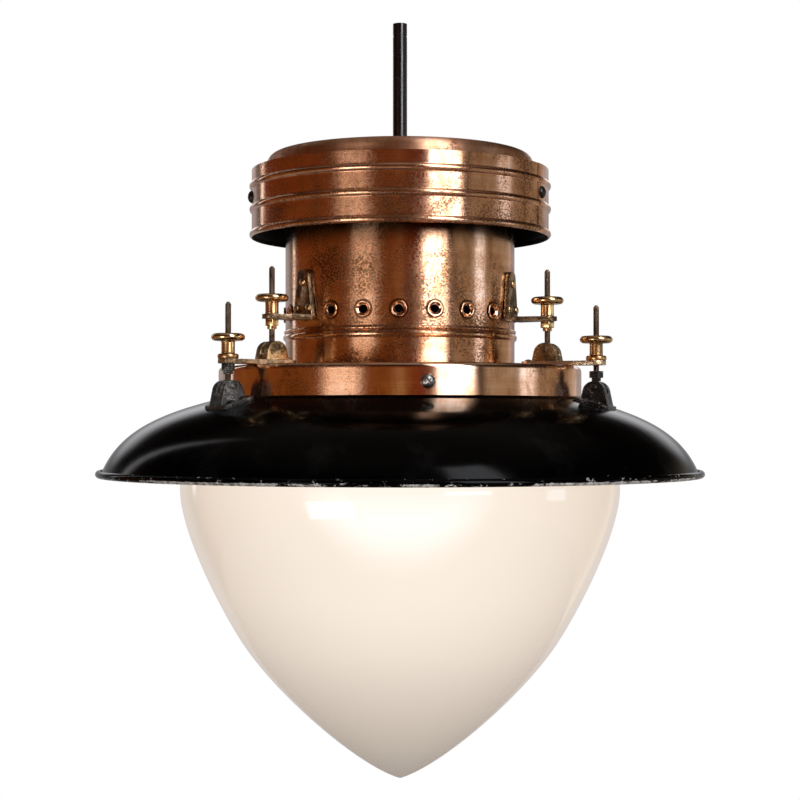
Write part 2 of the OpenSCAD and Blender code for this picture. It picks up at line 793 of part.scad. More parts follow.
// A hexagon with a round neck below, its top on the plane z = 0
module collar_nut() {
    difference() {
        union() {
            translate([0, 0, -nut_h]) cylinder(d = nut_af / cos(30), h = nut_h, $fn = 6);
            translate([0, 0, -nut_h - nut_neck_h]) cylinder(r = rod_r + 1.2, h = nut_neck_h + 0.5);
        }
        translate([0, 0, -nut_h - nut_neck_h - 1]) cylinder(r = thread_hole, h = nut_h + nut_neck_h + 2);
    }
}

module inner_collar_nuts() {
    color(brass) around(SETS) translate([inner_r, 0, arm_foot_z - 2 * seat_gap]) collar_nut();
}

module outer_collar_nuts() {
    color(black) for (i = [0:2]) rotate(SETS[i])
        translate([outer_r, 0, collar_z - 2 * seat_gap - BACKED_OFF[i]]) collar_nut();
}

// Glass screws, which hold the globe by its lip

module glass_screw(a) {
    length = collar_r - glass_r - glass_screw_grip;
    color(black) rotate(a) translate([collar_r + seat_gap, 0, glass_screw_z]) outward()
        cross_screw(glass_screw_head, 3, glass_screw_d, length);
}

module glass_screw_a() glass_screw(BETWEEN[0]);
module glass_screw_b() glass_screw(BETWEEN[1]);
module glass_screw_c() glass_screw(BETWEEN[2]);

// Reflector

// The skin's slope, from the neck line to the rolled rim
neck_slope = 13.2;
rim_slope = 68.6;
spread = roll_c - neck_r;
fold_r = roll_r - enamel_t;
rim_centre = [roll_c, neck_z - reflector_drop];
fold_from = 270 - rim_slope;
skin_start = [neck_r, neck_z];
skin_end = rim_centre + fold_r * [cos(fold_from), sin(fold_from)];
SKIN = [skin_start, skin_start + 0.578 * spread * [cos(neck_slope), -sin(neck_slope)],
        skin_end - 0.352 * spread * [cos(rim_slope), -sin(rim_slope)], skin_end];
skin_curve = curve(SKIN, 24, 1);

function skin_height(r) = lookup(r, skin_curve);

function skin_tilt(r) = atan((skin_height(r - 1) - skin_height(r + 1)) / 2);

module reflector() {
    neck_top = [neck_r, neck_z + neck_h];
    path = concat([neck_top], corner(neck_top, SKIN[0], SKIN[1], 1.5, 4), skin_curve,
                  arc(rim_centre, fold_r, fold_from, 480, 14, 1));
    color(black) difference() {
        rotate_extrude() polygon(sheet(path, enamel_t));
        at_lug_rivets(-5) cylinder(r = rivet_shank / 2 + seat_gap, h = 10);
    }
}

plate_mid = outer_r - 1;
LUG_RIVETS = [for (x = [-4.5, 4.5], y = [-10.2, 10.2]) [plate_mid + x, y]];

// The places of the lug rivets, square to the skin and up from it by that much
module at_lug_rivets(up) {
    around(SETS) for (p = LUG_RIVETS) {
        r = norm(p);
        translate([p.x, p.y, skin_height(r)]) rotate([0, skin_tilt(r), 0]) translate([0, 0, up]) children();
    }
}

module outer_lug(a) {
    l = plate_l / 2;
    w = plate_w / 2;
    color(black) rotate(a) difference() {
        union() {
            difference() {
                translate([outer_r, 0, outer_crown_z]) lug_block(outer_lug_up + 12);
                rotate_extrude() polygon(concat(skin_curve, [[roll_c, neck_z - 80], [10, neck_z - 80],
                                                             [10, neck_z]]));
            }
            intersection() {
                rotate_extrude() polygon(sheet(skin_curve, -plate_t));
                translate([plate_mid, 0, neck_z - 30]) linear_extrude(60)
                    polygon(rounded([[-l, -w, 4], [l, -w, 4], [l, w, 4], [-l, w, 4]], 5));
            }
        }
        rotate(-a) at_lug_rivets(-1) cylinder(r = rivet_shank / 2 + seat_gap, h = 10);
    }
}

module outer_lug_a() outer_lug(SET_A);
module outer_lug_b() outer_lug(SET_B);
module outer_lug_c() outer_lug(SET_C);

module outer_pins() {
    color(black) around(SETS) translate([outer_r, 0, outer_pin_z]) lug_pin();
}

module lug_rivets() {
    color(black) at_lug_rivets(plate_t + seat_gap)
        rivet(rivet_d, rivet_rise, rivet_shank, plate_t + enamel_t + 2 * seat_gap);
}

// Globe

lip_z = glass_screw_z + glass_screw_d / 2 + seat_gap;
globe_r = globe_d / 2;
wide_z = lip_z - globe_shoulder;
point_z = wide_z - globe_point;
shoulder_z = lip_z - 22;

module globe() {
    shoulder = curve([[glass_r, shoulder_z], [glass_r, shoulder_z - 20],
                      [globe_r, wide_z + 38], [globe_r, wide_z]], 16);
    belly = curve([[globe_r, wide_z], [globe_r, wide_z - 0.14 * globe_point],
                   [0.828 * globe_r, wide_z - 0.395 * globe_point],
                   [0.728 * globe_r, wide_z - 0.515 * globe_point]], 14, 1);
    tip = curve([[0.728 * globe_r, wide_z - 0.515 * globe_point],
                 [0.58 * globe_r, wide_z - 0.692 * globe_point],
                 [0.202 * globe_r, wide_z - 0.949 * globe_point], [0, point_z]], 14, 1);
    path = concat([[glass_r, lip_z]], shoulder, belly, tip);
    inside = [for (p = reversed(beside(path, glass_t))) if (p.x > 1) p];
    lip_top = lip_z + lip_h;
    color(opal) rotate_extrude() polygon(concat(
        corner([0, lip_top], [lip_r, lip_top], [lip_r, lip_z], 2),
        corner([lip_r, lip_top], [lip_r, lip_z], [glass_r, lip_z], 1.2),
        path, [[0, point_z + 1.06 * glass_t]], inside,
        corner([glass_r - glass_t, lip_z], [glass_r - glass_t, lip_top], [lip_r, lip_top], 1.5)));
}

// Lampholder, from its hub on the stem down to its mouth

contact_x = 6;
shell_x = 10;
floor_low = 1.2;
floor_high = 4.4;
terminal_top = floor_high + 5;
shell_r = screw_cap_d / 2 + 0.2;
shell_t = 0.5;

module lampholder_cap() {
    edge = holder_d / 2;
    hub = stem_d / 2 + 3.5;
    hole = stem_d / 2 + seat_gap;
    color(porcelain) translate([0, 0, tip_z]) rotate_extrude() polygon(rounded([
        [hole, 15, 0], [hub - 1, 15, 0], [edge - 3, 10, 3], [edge - 3, floor_high, 0],
        [edge, floor_high, 0], [edge, 12, 4], [hub, 18, 2], [hub, 28, 1], [hole, 28, 0]], 4));
}

module lampholder_body() {
    edge = holder_d / 2;
    well = shell_r + shell_t + seat_gap;
    color(porcelain) translate([0, 0, tip_z]) difference() {
        rotate_extrude() polygon(rounded([
            [0, floor_low, 0], [well, floor_low, 0], [well, -holder_l, 0.6], [edge - 2, -holder_l, 1.5],
            [edge - 1, -holder_l + 12, 2], [edge, -2, 2], [edge, floor_high, 0], [0, floor_high, 0]], 4));
        translate([0, 0, -1]) cylinder(r = 2 + seat_gap, h = 10);
        translate([-shell_x, 0, -1]) cylinder(r = 1.5 + seat_gap, h = 10);
    }
}

// The centre contact: a button under the floor, its post, and a bar to the terminal above
module lampholder_contact() {
    color(brass) translate([0, 0, tip_z]) {
        translate([0, 0, 0.1]) cylinder(r = 4, h = floor_low - 0.15);
        cylinder(r = 2, h = floor_high + 1);
        translate([-2, -2, floor_high + 0.05]) cube([contact_x + 4, 4, 1]);
        translate([contact_x - 2.5, -2.5, floor_high + 0.05]) cube([5, 5, terminal_top - floor_high - 0.1]);
    }
}

// The screw shell, and a post from its top through the floor to its own terminal
module lampholder_shell() {
    top = floor_low - 0.1;
    color(brass) translate([0, 0, tip_z]) {
        difference() {
            translate([0, 0, 2 - holder_l]) cylinder(r = shell_r + shell_t, h = top - 2 + holder_l);
            translate([0, 0, 1 - holder_l]) cylinder(r = shell_r, h = holder_l - 1 + top - shell_t);
            translate([0, 0, -2]) cylinder(r = 6, h = 5);
        }
        translate([-shell_x, 0, top - 0.3]) cylinder(r = 1.5, h = floor_high - top + 0.8);
        translate([-shell_x - 2.5, -2.5, floor_high + 0.05]) cube([5, 5, terminal_top - floor_high - 0.1]);
    }
}

// Bulb

module bulb_cap() {
    r = screw_cap_d / 2;
    color(brass) translate([0, 0, tip_z]) rotate_extrude() polygon(rounded([
        [0, 0, 0], [4.6, 0, 0.4], [5.2, -1.4, 0], [r - 2.4, -4.6, 0.5], [r, -6.6, 0.6],
        [r, -26, 0.3], [r - 0.6, -26, 0], [r - 0.6, -9, 0], [0, -9, 0]], 3));
}

module bulb_glass() {
    neck = screw_cap_d / 2 - 0.7;
    r = bulb_d / 2;
    mid = r - bulb_l;
    path = concat([[neck, -13]],
                  curve([[neck, -27], [neck, -42], [r, mid + 27], [r, mid]], 12),
                  [for (i = [1:10]) [r * cos(9 * i), mid - r * sin(9 * i)]]);
    inside = [for (p = reversed(beside(path, 0.9))) if (p.x > 0.5) p];
    color([0.95, 0.95, 0.92, 0.5]) translate([0, 0, tip_z]) {
        rotate_extrude() polygon(concat(path, [[0, 0.9 - bulb_l]], inside));
        translate([0, 0, -13]) cylinder(r = neck, h = 1.5);
        translate([0, 0, -50]) cylinder(r = 3, h = 38);
    }
}

// Four straight filaments held between two wire crosses on a centre wire
module bulb_filament() {
    ring_r = 9;
    high = -49;
    low = -88;
    color([1, 0.8, 0.4]) translate([0, 0, tip_z]) {
        translate([0, 0, low - 0.4]) cylinder(r = 0.5, h = -50 - seat_gap - low + 0.4);
        for (a = [45:90:315]) rotate(a) {
            translate([ring_r, 0, low]) cylinder(r = 0.9, h = high - low);
            translate([0, 0, low]) outward() cylinder(r = 0.4, h = ring_r);
            translate([3 + seat_gap, 0, high]) outward() cylinder(r = 0.4, h = ring_r - 3);
        }
    }
}

stem_tube();
stem_nuts();
stem_washers();
lead_wires();
cap_lid();
cap_band();
cap_screws();
cap_screw_nuts();
cap_crossbar();
chimney_tube();
vent_eyelets();
chimney_crossbar();
chimney_rivets();
bracket_a();
bracket_b();
bracket_c();
bracket_rivets();
lampholder_cap();
lampholder_body();
lampholder_shell();
lampholder_contact();
bulb_glass();
bulb_cap();
bulb_filament();
collar();
strip_a();
strip_b();
strip_c();
strip_rivets();
glass_screw_nuts();
inner_lug_a();
inner_lug_b();
inner_lug_c();
inner_pins();
inner_rod_a();
inner_rod_b();
inner_rod_c();
inner_collar_nuts();
inner_thumb_nut_a();
inner_thumb_nut_b();
inner_thumb_nut_c();
outer_washers();
outer_thumb_nut_a();
outer_thumb_nut_b();
outer_thumb_nut_c();
glass_screw_a();
glass_screw_b();
glass_screw_c();
globe();
reflector();
outer_lug_a();
outer_lug_b();
outer_lug_c();
outer_pins();
lug_rivets();
outer_rod_a();
outer_rod_b();
outer_rod_c();
outer_collar_nuts();
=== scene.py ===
"""The looks of an old copper gas lamp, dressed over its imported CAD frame."""
import json
import math

import bpy
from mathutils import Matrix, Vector

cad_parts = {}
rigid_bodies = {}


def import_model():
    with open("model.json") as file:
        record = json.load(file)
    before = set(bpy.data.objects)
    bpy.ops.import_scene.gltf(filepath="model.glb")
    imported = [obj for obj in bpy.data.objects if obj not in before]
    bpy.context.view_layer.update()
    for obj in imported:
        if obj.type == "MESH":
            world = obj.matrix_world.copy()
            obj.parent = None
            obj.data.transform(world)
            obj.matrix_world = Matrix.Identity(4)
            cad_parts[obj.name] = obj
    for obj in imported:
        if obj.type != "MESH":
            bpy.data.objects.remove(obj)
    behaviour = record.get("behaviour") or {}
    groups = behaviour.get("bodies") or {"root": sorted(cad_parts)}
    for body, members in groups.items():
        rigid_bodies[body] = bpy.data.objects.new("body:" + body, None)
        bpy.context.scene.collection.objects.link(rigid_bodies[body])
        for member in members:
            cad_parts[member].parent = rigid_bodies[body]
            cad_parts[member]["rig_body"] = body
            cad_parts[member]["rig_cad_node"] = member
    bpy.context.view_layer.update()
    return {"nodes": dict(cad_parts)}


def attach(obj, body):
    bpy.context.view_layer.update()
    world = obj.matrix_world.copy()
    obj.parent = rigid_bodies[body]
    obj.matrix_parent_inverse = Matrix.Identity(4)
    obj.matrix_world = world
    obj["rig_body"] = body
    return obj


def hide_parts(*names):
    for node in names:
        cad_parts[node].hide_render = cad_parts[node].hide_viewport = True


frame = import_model()

MM = 0.001
SETS = {"a": -150, "b": -30, "c": 90}

# Heights in mm below the stem's top end, as in the part's source
STEM_SHOW = 93
CROWN_Z = -STEM_SHOW
STEP_Z = CROWN_Z - 11
RIM_Z = STEP_Z - 47
CHIMNEY_TOP_Z = RIM_Z + 22
COLLAR_Z = RIM_Z - 90
CHIMNEY_FOOT_Z = COLLAR_Z - 18
EYELET_Z = COLLAR_Z + 36.4
ARM_Z = COLLAR_Z + 33.3
STRIP_Z = COLLAR_Z + 3
COLLAR_FOOT_Z = COLLAR_Z - 21
NECK_Z = COLLAR_FOOT_Z - 0.2
GLASS_SCREW_Z = COLLAR_Z - 12.3
LIP_Z = GLASS_SCREW_Z + 2.6
BULB_Z = COLLAR_Z - 113

# Radii and thicknesses in mm
CAP_R = 103.5
CROWN_R = 92.5
CHIMNEY_R = 80
COLLAR_R = 126.25
INNER_ROD_R = 107.5
OUTER_ROD_R = 141.55
NECK_R = 122.25
ROLL_C = 207.5
ROLL_Z = NECK_Z - 52.3
GLOBE_R = 152.6
COPPER_T = 0.8
SHEET_T = 1.2
GLASS_T = 4
BEAD_RISE = 1.6
BEAD_HALF = 2.3
EYELETS_PER_SIDE = 6


# Outlines, as lists of (radius, height) in mm

def minus(a, b):
    return (a[0] - b[0], a[1] - b[1])


def unit(v):
    length = math.hypot(*v)
    return (v[0] / length, v[1] / length)


def arc(centre, r, start, end, steps):
    """Points on an arc, by angles in degrees."""
    points = []
    for i in range(steps + 1):
        q = math.radians(start + (end - start) * i / steps)
        points.append((centre[0] + r * math.cos(q), centre[1] + r * math.sin(q)))
    return points


def curve(p, steps, first=0):
    """Points on a cubic curve with the four control points p."""
    points = []
    for i in range(first, steps + 1):
        t = i / steps
        s = 1 - t
        weights = (s**3, 3 * s * s * t, 3 * s * t * t, t**3)
        points.append(tuple(sum(w * q[k] for w, q in zip(weights, p)) for k in (0, 1)))
    return points


def corner(a, b, c, r, steps=5):
    """The round corner at b on the way from a to c."""
    u, v = unit(minus(a, b)), unit(minus(c, b))
    half = math.acos(u[0] * v[0] + u[1] * v[1]) / 2
    inward = unit((u[0] + v[0], u[1] + v[1]))
    middle = (b[0] + inward[0] * r / math.sin(half), b[1] + inward[1] * r / math.sin(half))
    start = minus((b[0] + u[0] * r / math.tan(half), b[1] + u[1] * r / math.tan(half)), middle)
    side = -1 if u[0] * v[1] - u[1] * v[0] > 0 else 1
    from_angle = math.degrees(math.atan2(start[1], start[0]))
    sweep = side * (180 - math.degrees(2 * half))
    return arc(middle, r, from_angle, from_angle + sweep, steps)


def bead(r, z, rise, half, steps=12):
    """A bead swaged into a wall at radius r, from its upper edge down."""
    br = (rise * rise + half * half) / (2 * rise)
    q = math.degrees(math.asin(half / br))
    return arc((r + rise - br, z), br, q, -q, steps)


def softened(path, r, steps=3):
    """The path with each inner corner rounded a little."""
    points = [path[0]]
    for a, b, c in zip(path, path[1:], path[2:]):
        u, v = unit(minus(b, a)), unit(minus(c, b))
        bend = abs(u[0] * v[1] - u[1] * v[0])
        room = min(math.hypot(*minus(b, a)), math.hypot(*minus(c, b)))
        if bend > 0.3 and room > 0.2:
            angle = math.asin(min(1, bend))
            fit = min(r, 0.45 * room / math.tan(angle / 2))
            points += corner(a, b, c, fit, steps)
        else:
            points.append(b)
    return points + [path[-1]]


def beside(path, t):
    """The path moved to its right-hand side by t."""
    def right(a, b):
        d = unit(minus(b, a))
        return (d[1], -d[0])
    last = len(path) - 1
    points = []
    for i, p in enumerate(path):
        n0 = right(path[max(i - 1, 0)], path[max(i, 1)])
        n1 = right(path[min(i, last - 1)], path[min(i + 1, last)])
        m = unit((n0[0] + n1[0], n0[1] + n1[1]))
        k = t / (m[0] * n1[0] + m[1] * n1[1])
        points.append((p[0] + m[0] * k, p[1] + m[1] * k))
    return points


def held(path, gap=0.6):
    """The path with points near the ends of its long straights, so that they are shaded as flat."""
    points = [path[0]]
    for a, b in zip(path, path[1:]):
        way = minus(b, a)
        share = gap / math.hypot(*way)
        if share < 0.25:
            points += [(a[0] + way[0] * k, a[1] + way[1] * k) for k in (share, 1 - share)]
        points.append(b)
    return points


def sheet(path, t):
    """The section of a sheet whose outer skin is the path."""
    path = held(path)
    return path + beside(path, t)[::-1]


# Modelling with Blender's tools

def deselect():
    if bpy.context.mode != "OBJECT":
        bpy.ops.object.mode_set(mode="OBJECT")
    bpy.ops.object.select_all(action="DESELECT")


def only(obj):
    deselect()
    obj.select_set(True)
    bpy.context.view_layer.objects.active = obj


def smooth(obj, angle=35):
    """Shades the piece smooth, apart from edges sharper than the angle in degrees."""
    only(obj)
    bpy.ops.object.shade_smooth_by_angle(angle=math.radians(angle))


def apply_modifiers(obj):
    only(obj)
    for modifier in list(obj.modifiers):
        bpy.ops.object.modifier_apply(modifier=modifier.name)


def turned(name, outline, steps=224, closed=True, start=0, sweep=360, angle=35):
    """A form turned about the Z axis from its outline, by extruding a point and spinning the line."""
    deselect()
    points = [Vector((x * MM, 0, z * MM)) for x, z in outline]
    if closed:
        points.append(points[0])
    bpy.ops.mesh.primitive_plane_add(size=0.001)
    obj = bpy.context.object
    obj.name = name
    bpy.ops.object.mode_set(mode="EDIT")
    bpy.ops.mesh.select_all(action="SELECT")
    bpy.ops.mesh.merge(type="CENTER")
    bpy.ops.transform.translate(value=points[0])
    for a, b in zip(points, points[1:]):
        bpy.ops.mesh.extrude_region_move(TRANSFORM_OT_translate={"value": b - a})
    bpy.ops.mesh.select_all(action="SELECT")
    bpy.ops.mesh.remove_doubles(threshold=2e-6)
    if start:
        bpy.ops.transform.rotate(value=-math.radians(start), orient_axis="Z", center_override=(0, 0, 0))
    bpy.ops.mesh.spin(steps=steps, angle=-math.radians(sweep), center=(0, 0, 0), axis=(0, 0, 1))
    bpy.ops.mesh.select_all(action="SELECT")
    bpy.ops.mesh.remove_doubles(threshold=2e-6)
    if sweep < 360 and closed:
        bpy.ops.mesh.select_all(action="DESELECT")
        bpy.ops.mesh.select_non_manifold()
        bpy.ops.mesh.edge_face_add()
        bpy.ops.mesh.select_all(action="SELECT")
    bpy.ops.mesh.normals_make_consistent(inside=False)
    bpy.ops.object.mode_set(mode="OBJECT")
    smooth(obj, angle)
    return obj


def join(name, objects):
    """One piece from several, with its origin at the lamp's."""
    deselect()
    for o in objects:
        o.select_set(True)
    bpy.context.view_layer.objects.active = objects[0]
    bpy.ops.object.join()
    obj = bpy.context.object
    bpy.ops.object.transform_apply(location=True, rotation=True, scale=True)
    obj.name = name
    return obj


def copy_of(obj, location=(0, 0, 0), rotation=(0, 0, 0)):
    only(obj)
    bpy.ops.object.duplicate()
    made = bpy.context.object
    made.location = location
    made.rotation_euler = rotation
    return made


def round_place(radius, angle, z):
    """A place in metres from a radius and height in mm and an angle in degrees from +X."""
    q = math.radians(angle)
    return (radius * math.cos(q) * MM, radius * math.sin(q) * MM, z * MM)


def refined(node, name, edge):
    """A merged copy of a CAD node with its edges rounded by edge in mm, which replaces the node."""
    only(frame["nodes"][node])
    bpy.ops.object.duplicate()
    obj = bpy.context.object
    obj.name = name
    obj.parent = None
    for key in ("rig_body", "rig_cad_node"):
        if key in obj:
            del obj[key]
    bpy.ops.mesh.customdata_custom_splitnormals_clear()
    bpy.ops.object.mode_set(mode="EDIT")
    bpy.ops.mesh.select_all(action="SELECT")
    bpy.ops.mesh.remove_doubles(threshold=1e-6)
    bpy.ops.mesh.dissolve_limited(angle_limit=math.radians(0.5))
    bpy.ops.object.mode_set(mode="OBJECT")
    if edge:
        bevel = obj.modifiers.new("edges", "BEVEL")
        bevel.width = edge * MM
        bevel.segments = 2
        bevel.limit_method = "ANGLE"
        bevel.angle_limit = math.radians(30)
        bevel.use_clamp_overlap = True
        bevel.harden_normals = False
        apply_modifiers(obj)
    smooth(obj, 40)
    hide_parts(node)
    return obj


def finish_piece(obj, body, material):
    """Gives a piece its material, and lets it ride on its body."""
    obj.data.materials.clear()
    obj.data.materials.append(material)
    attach(obj, body)
    return obj


# Node helpers

def put(tree, kind, inputs=None, **settings):
    """A shader node with its settings, and its inputs set or linked."""
    made = tree.nodes.new("ShaderNode" + kind)
    for key, value in settings.items():
        setattr(made, key, value)
    for key, value in (inputs or {}).items():
        socket = made.inputs[key]
        if isinstance(value, bpy.types.NodeSocket):
            tree.links.new(value, socket)
        else:
            socket.default_value = value
    return made


def maths(tree, operation, a, b=0.0, c=0.0, clamp=False):
    return put(tree, "Math", {0: a, 1: b, 2: c}, operation=operation, use_clamp=clamp).outputs[0]


def remap(tree, value, low, high, to_low=0.0, to_high=1.0, smooth_step=True):
    """The value carried from low..high to to_low..to_high, clamped."""
    made = put(tree, "MapRange", {"Value": value, "From Min": low, "From Max": high,
                                  "To Min": to_low, "To Max": to_high},
               interpolation_type="SMOOTHSTEP" if smooth_step else "LINEAR")
    return made.outputs["Result"]


def blend_colour(tree, factor, first, second, blend_type="MIX"):
    made = put(tree, "Mix", {"Factor": factor}, data_type="RGBA", blend_type=blend_type)
    for socket, value in ((made.inputs[6], first), (made.inputs[7], second)):
        if isinstance(value, bpy.types.NodeSocket):
            tree.links.new(value, socket)
        else:
            socket.default_value = (*value, 1)
    return made.outputs[2]


def ramp(tree, factor, stops):
    """A colour ramp from (position, (r, g, b)) stops."""
    made = put(tree, "ValToRGB", {"Fac": factor})
    points = made.color_ramp.elements
    while len(points) < len(stops):
        points.new(0.5)
    for point, (position, colour) in zip(points, stops):
        point.position = position
        point.color = (*colour, 1)
    return made.outputs["Color"]


def new_group(name, inputs, outputs):
    """A shader node group with named sockets; inputs are (name, default)."""
    tree = bpy.data.node_groups.new(name, "ShaderNodeTree")
    for label, default in inputs:
        socket = tree.interface.new_socket(name=label, in_out="INPUT", socket_type="NodeSocketFloat")
        socket.default_value = default
    for label in outputs:
        tree.interface.new_socket(name=label, in_out="OUTPUT", socket_type="NodeSocketFloat")
    source = tree.nodes.new("NodeGroupInput")
    sink = tree.nodes.new("NodeGroupOutput")
    return tree, source.outputs, sink.inputs


def use(tree, group, **values):
    """A group placed in a material, with its own values; names use _ for spaces."""
    made = tree.nodes.new("ShaderNodeGroup")
    made.node_tree = group
    for key, value in values.items():
        socket = made.inputs[key.replace("_", " ")]
        if isinstance(value, bpy.types.NodeSocket):
            tree.links.new(value, socket)
        else:
            socket.default_value = value
    return made.outputs


def object_place(tree):
    return put(tree, "TexCoord").outputs["Object"]


def noise(tree, vector, scale, detail=3.0, roughness=0.55, distortion=0.0):
    return put(tree, "TexNoise", {"Vector": vector, "Scale": scale, "Detail": detail,
                                  "Roughness": roughness, "Distortion": distortion}).outputs["Fac"]


# Shared effects

def build_streaks():
    """Fine lines left by turning and polishing, which run round the Z axis."""
    tree, given, out = new_group(
        "turning streaks", [("Along", 22.0), ("Across", 900.0), ("Seed", 0.0)], ["Value", "Broad"])
    xyz = put(tree, "SeparateXYZ", {0: object_place(tree)}).outputs
    near = put(tree, "CombineXYZ", {
        "X": maths(tree, "MULTIPLY", xyz["X"], given["Along"]),
        "Y": maths(tree, "MULTIPLY", xyz["Y"], given["Along"]),
        "Z": maths(tree, "ADD", maths(tree, "MULTIPLY", xyz["Z"], given["Across"]), given["Seed"]),
    }).outputs[0]
    tree.links.new(noise(tree, near, 1.0, 4.0, 0.62), out["Value"])
    wide = put(tree, "VectorMath", {0: near, 1: (0.6, 0.6, 0.16)}, operation="MULTIPLY").outputs[0]
    tree.links.new(noise(tree, wide, 1.0, 3.0, 0.6), out["Broad"])
    return tree


def build_patina():
    """Clouds of old tarnish, and the dark specks that gather in them."""
    tree, given, out = new_group(
        "patina", [("Cloud Scale", 16.0), ("Speck Scale", 900.0), ("Amount", 0.5), ("Seed", 0.0)],
        ["Clouds", "Mottle", "Specks", "Grain"])
    place = put(tree, "VectorMath", {0: object_place(tree), 1: given["Seed"]}, operation="ADD").outputs[0]
    clouds = noise(tree, place, given["Cloud Scale"], 5.0, 0.6, 0.6)
    tree.links.new(clouds, out["Clouds"])
    runs = put(tree, "VectorMath", {0: place, 1: (1.3, 1.3, 0.45)}, operation="MULTIPLY").outputs[0]
    tree.links.new(noise(tree, runs, 70.0, 5.0, 0.66, 0.3), out["Mottle"])
    flat = put(tree, "VectorMath", {0: place, 1: (0.8, 0.8, 1.0)}, operation="MULTIPLY").outputs[0]
    grain = noise(tree, flat, given["Speck Scale"], 4.0, 0.7)
    tree.links.new(grain, out["Grain"])
    level = maths(tree, "ADD", clouds, maths(tree, "SUBTRACT", given["Amount"], 0.5))
    edge = remap(tree, level, 0.45, 0.68, 0.72, 0.42)
    specks = maths(tree, "MULTIPLY", maths(tree, "SUBTRACT", grain, edge), 9.0, clamp=True)
    tree.links.new(specks, out["Specks"])
    return tree


def build_worn_edges():
    """A mask that is 1 along outer edges, where handling has rubbed the surface bright."""
    tree, given, out = new_group(
        "worn edges", [("Radius", 0.0006), ("Scale", 350.0), ("Amount", 0.5)], ["Mask"])
    soft = put(tree, "Bevel", {"Radius": given["Radius"]}, samples=4).outputs["Normal"]
    true = put(tree, "NewGeometry").outputs["Normal"]
    bend = put(tree, "VectorMath", {0: soft, 1: true}, operation="DOT_PRODUCT").outputs["Value"]
    edge = remap(tree, bend, 0.99, 0.86)
    ragged = noise(tree, object_place(tree), given["Scale"], 4.0, 0.7)
    mask = maths(tree, "MULTIPLY", edge, remap(tree, ragged, 0.62, 0.4))
    tree.links.new(maths(tree, "MULTIPLY", mask, given["Amount"], clamp=True), out["Mask"])
    return tree


def build_thread():
    """Screw threads as a height, on an upright rod or in an upright nut."""
    tree, given, out = new_group("thread", [("Pitch", 0.0007)], ["Height"])
    z = put(tree, "SeparateXYZ", {0: object_place(tree)}).outputs["Z"]
    turns = maths(tree, "MULTIPLY", maths(tree, "DIVIDE", z, given["Pitch"]), 2 * math.pi)
    tree.links.new(maths(tree, "SINE", turns), out["Height"])
    return tree


def build_soot():
    """A mask of the surfaces that face the Z axis, or lie nearer to it than the radius."""
    tree, given, out = new_group("soot", [("Radius", 0.1)], ["Mask"])
    place = object_place(tree)
    flat = put(tree, "VectorMath", {0: place, 1: (1.0, 1.0, 0.0)}, operation="MULTIPLY").outputs[0]
    away = put(tree, "VectorMath", {0: flat}, operation="LENGTH").outputs["Value"]
    near = remap(tree, maths(tree, "SUBTRACT", given["Radius"], away), 0.0, 0.0002)
    outward = put(tree, "VectorMath", {0: flat}, operation="NORMALIZE").outputs[0]
    normal = put(tree, "NewGeometry").outputs["Normal"]
    turned_away = put(tree, "VectorMath", {0: normal, 1: outward}, operation="DOT_PRODUCT").outputs["Value"]
    inner = remap(tree, turned_away, -0.1, -0.3)
    tree.links.new(maths(tree, "MAXIMUM", near, inner), out["Mask"])
    return tree


def build_eyelet_grime():
    """A mask of the dark line round each eyelet of the chimney, at equal steps round the Z axis."""
    tree, given, out = new_group("eyelet grime", [("Size", 0.0058)], ["Mask"])
    xyz = put(tree, "SeparateXYZ", {0: object_place(tree)}).outputs
    step = math.radians(120 / (EYELETS_PER_SIDE + 1))
    first = math.radians(SETS["a"]) - step / 2
    turn = maths(tree, "SUBTRACT", maths(tree, "ARCTAN2", xyz["Y"], xyz["X"]), first - 2 * math.pi)
    off = maths(tree, "SUBTRACT", maths(tree, "MODULO", turn, step), step / 2)
    across = maths(tree, "MULTIPLY", off, CHIMNEY_R * MM)
    up = maths(tree, "SUBTRACT", xyz["Z"], EYELET_Z * MM)
    away = put(tree, "VectorMath", {0: put(tree, "CombineXYZ", {"X": across, "Y": up}).outputs[0]},
               operation="LENGTH").outputs["Value"]
    near = maths(tree, "ABSOLUTE", maths(tree, "SUBTRACT", away, given["Size"]))
    ragged = maths(tree, "MULTIPLY", noise(tree, object_place(tree), 420.0, 3.0, 0.6), 0.0012)
    line = maths(tree, "SUBTRACT", near, ragged)
    tree.links.new(remap(tree, line, 0.0004, -0.0002, 0.0, 0.85), out["Mask"])
    return tree


STREAKS = build_streaks()
SOOT = build_soot()
EYELET_GRIME = build_eyelet_grime()
PATINA = build_patina()
WORN = build_worn_edges()
THREAD = build_thread()


# Materials

def new_material(name, **constants):
    """A material with one Principled shader, its constant sockets set directly."""
    material = bpy.data.materials.new(name)
    material.use_nodes = True
    tree = material.node_tree
    shader = tree.nodes["Principled BSDF"]
    for key, value in constants.items():
        socket = shader.inputs[key.replace("_", " ")]
        socket.default_value = (*value, 1) if isinstance(value, tuple) and len(value) == 3 else value
    return material, tree, shader


def bumped(tree, shader, height, strength, distance):
    """Lets the height shape the surface, by the distance in metres."""
    bump = put(tree, "Bump", {"Height": height, "Strength": strength, "Distance": distance})
    tree.links.new(bump.outputs["Normal"], shader.inputs["Normal"])


def feed(tree, shader, **sockets):
    """Links colours and values to the shader's inputs; names use _ for spaces."""
    for key, value in sockets.items():
        tree.links.new(value, shader.inputs[key.replace("_", " ")])


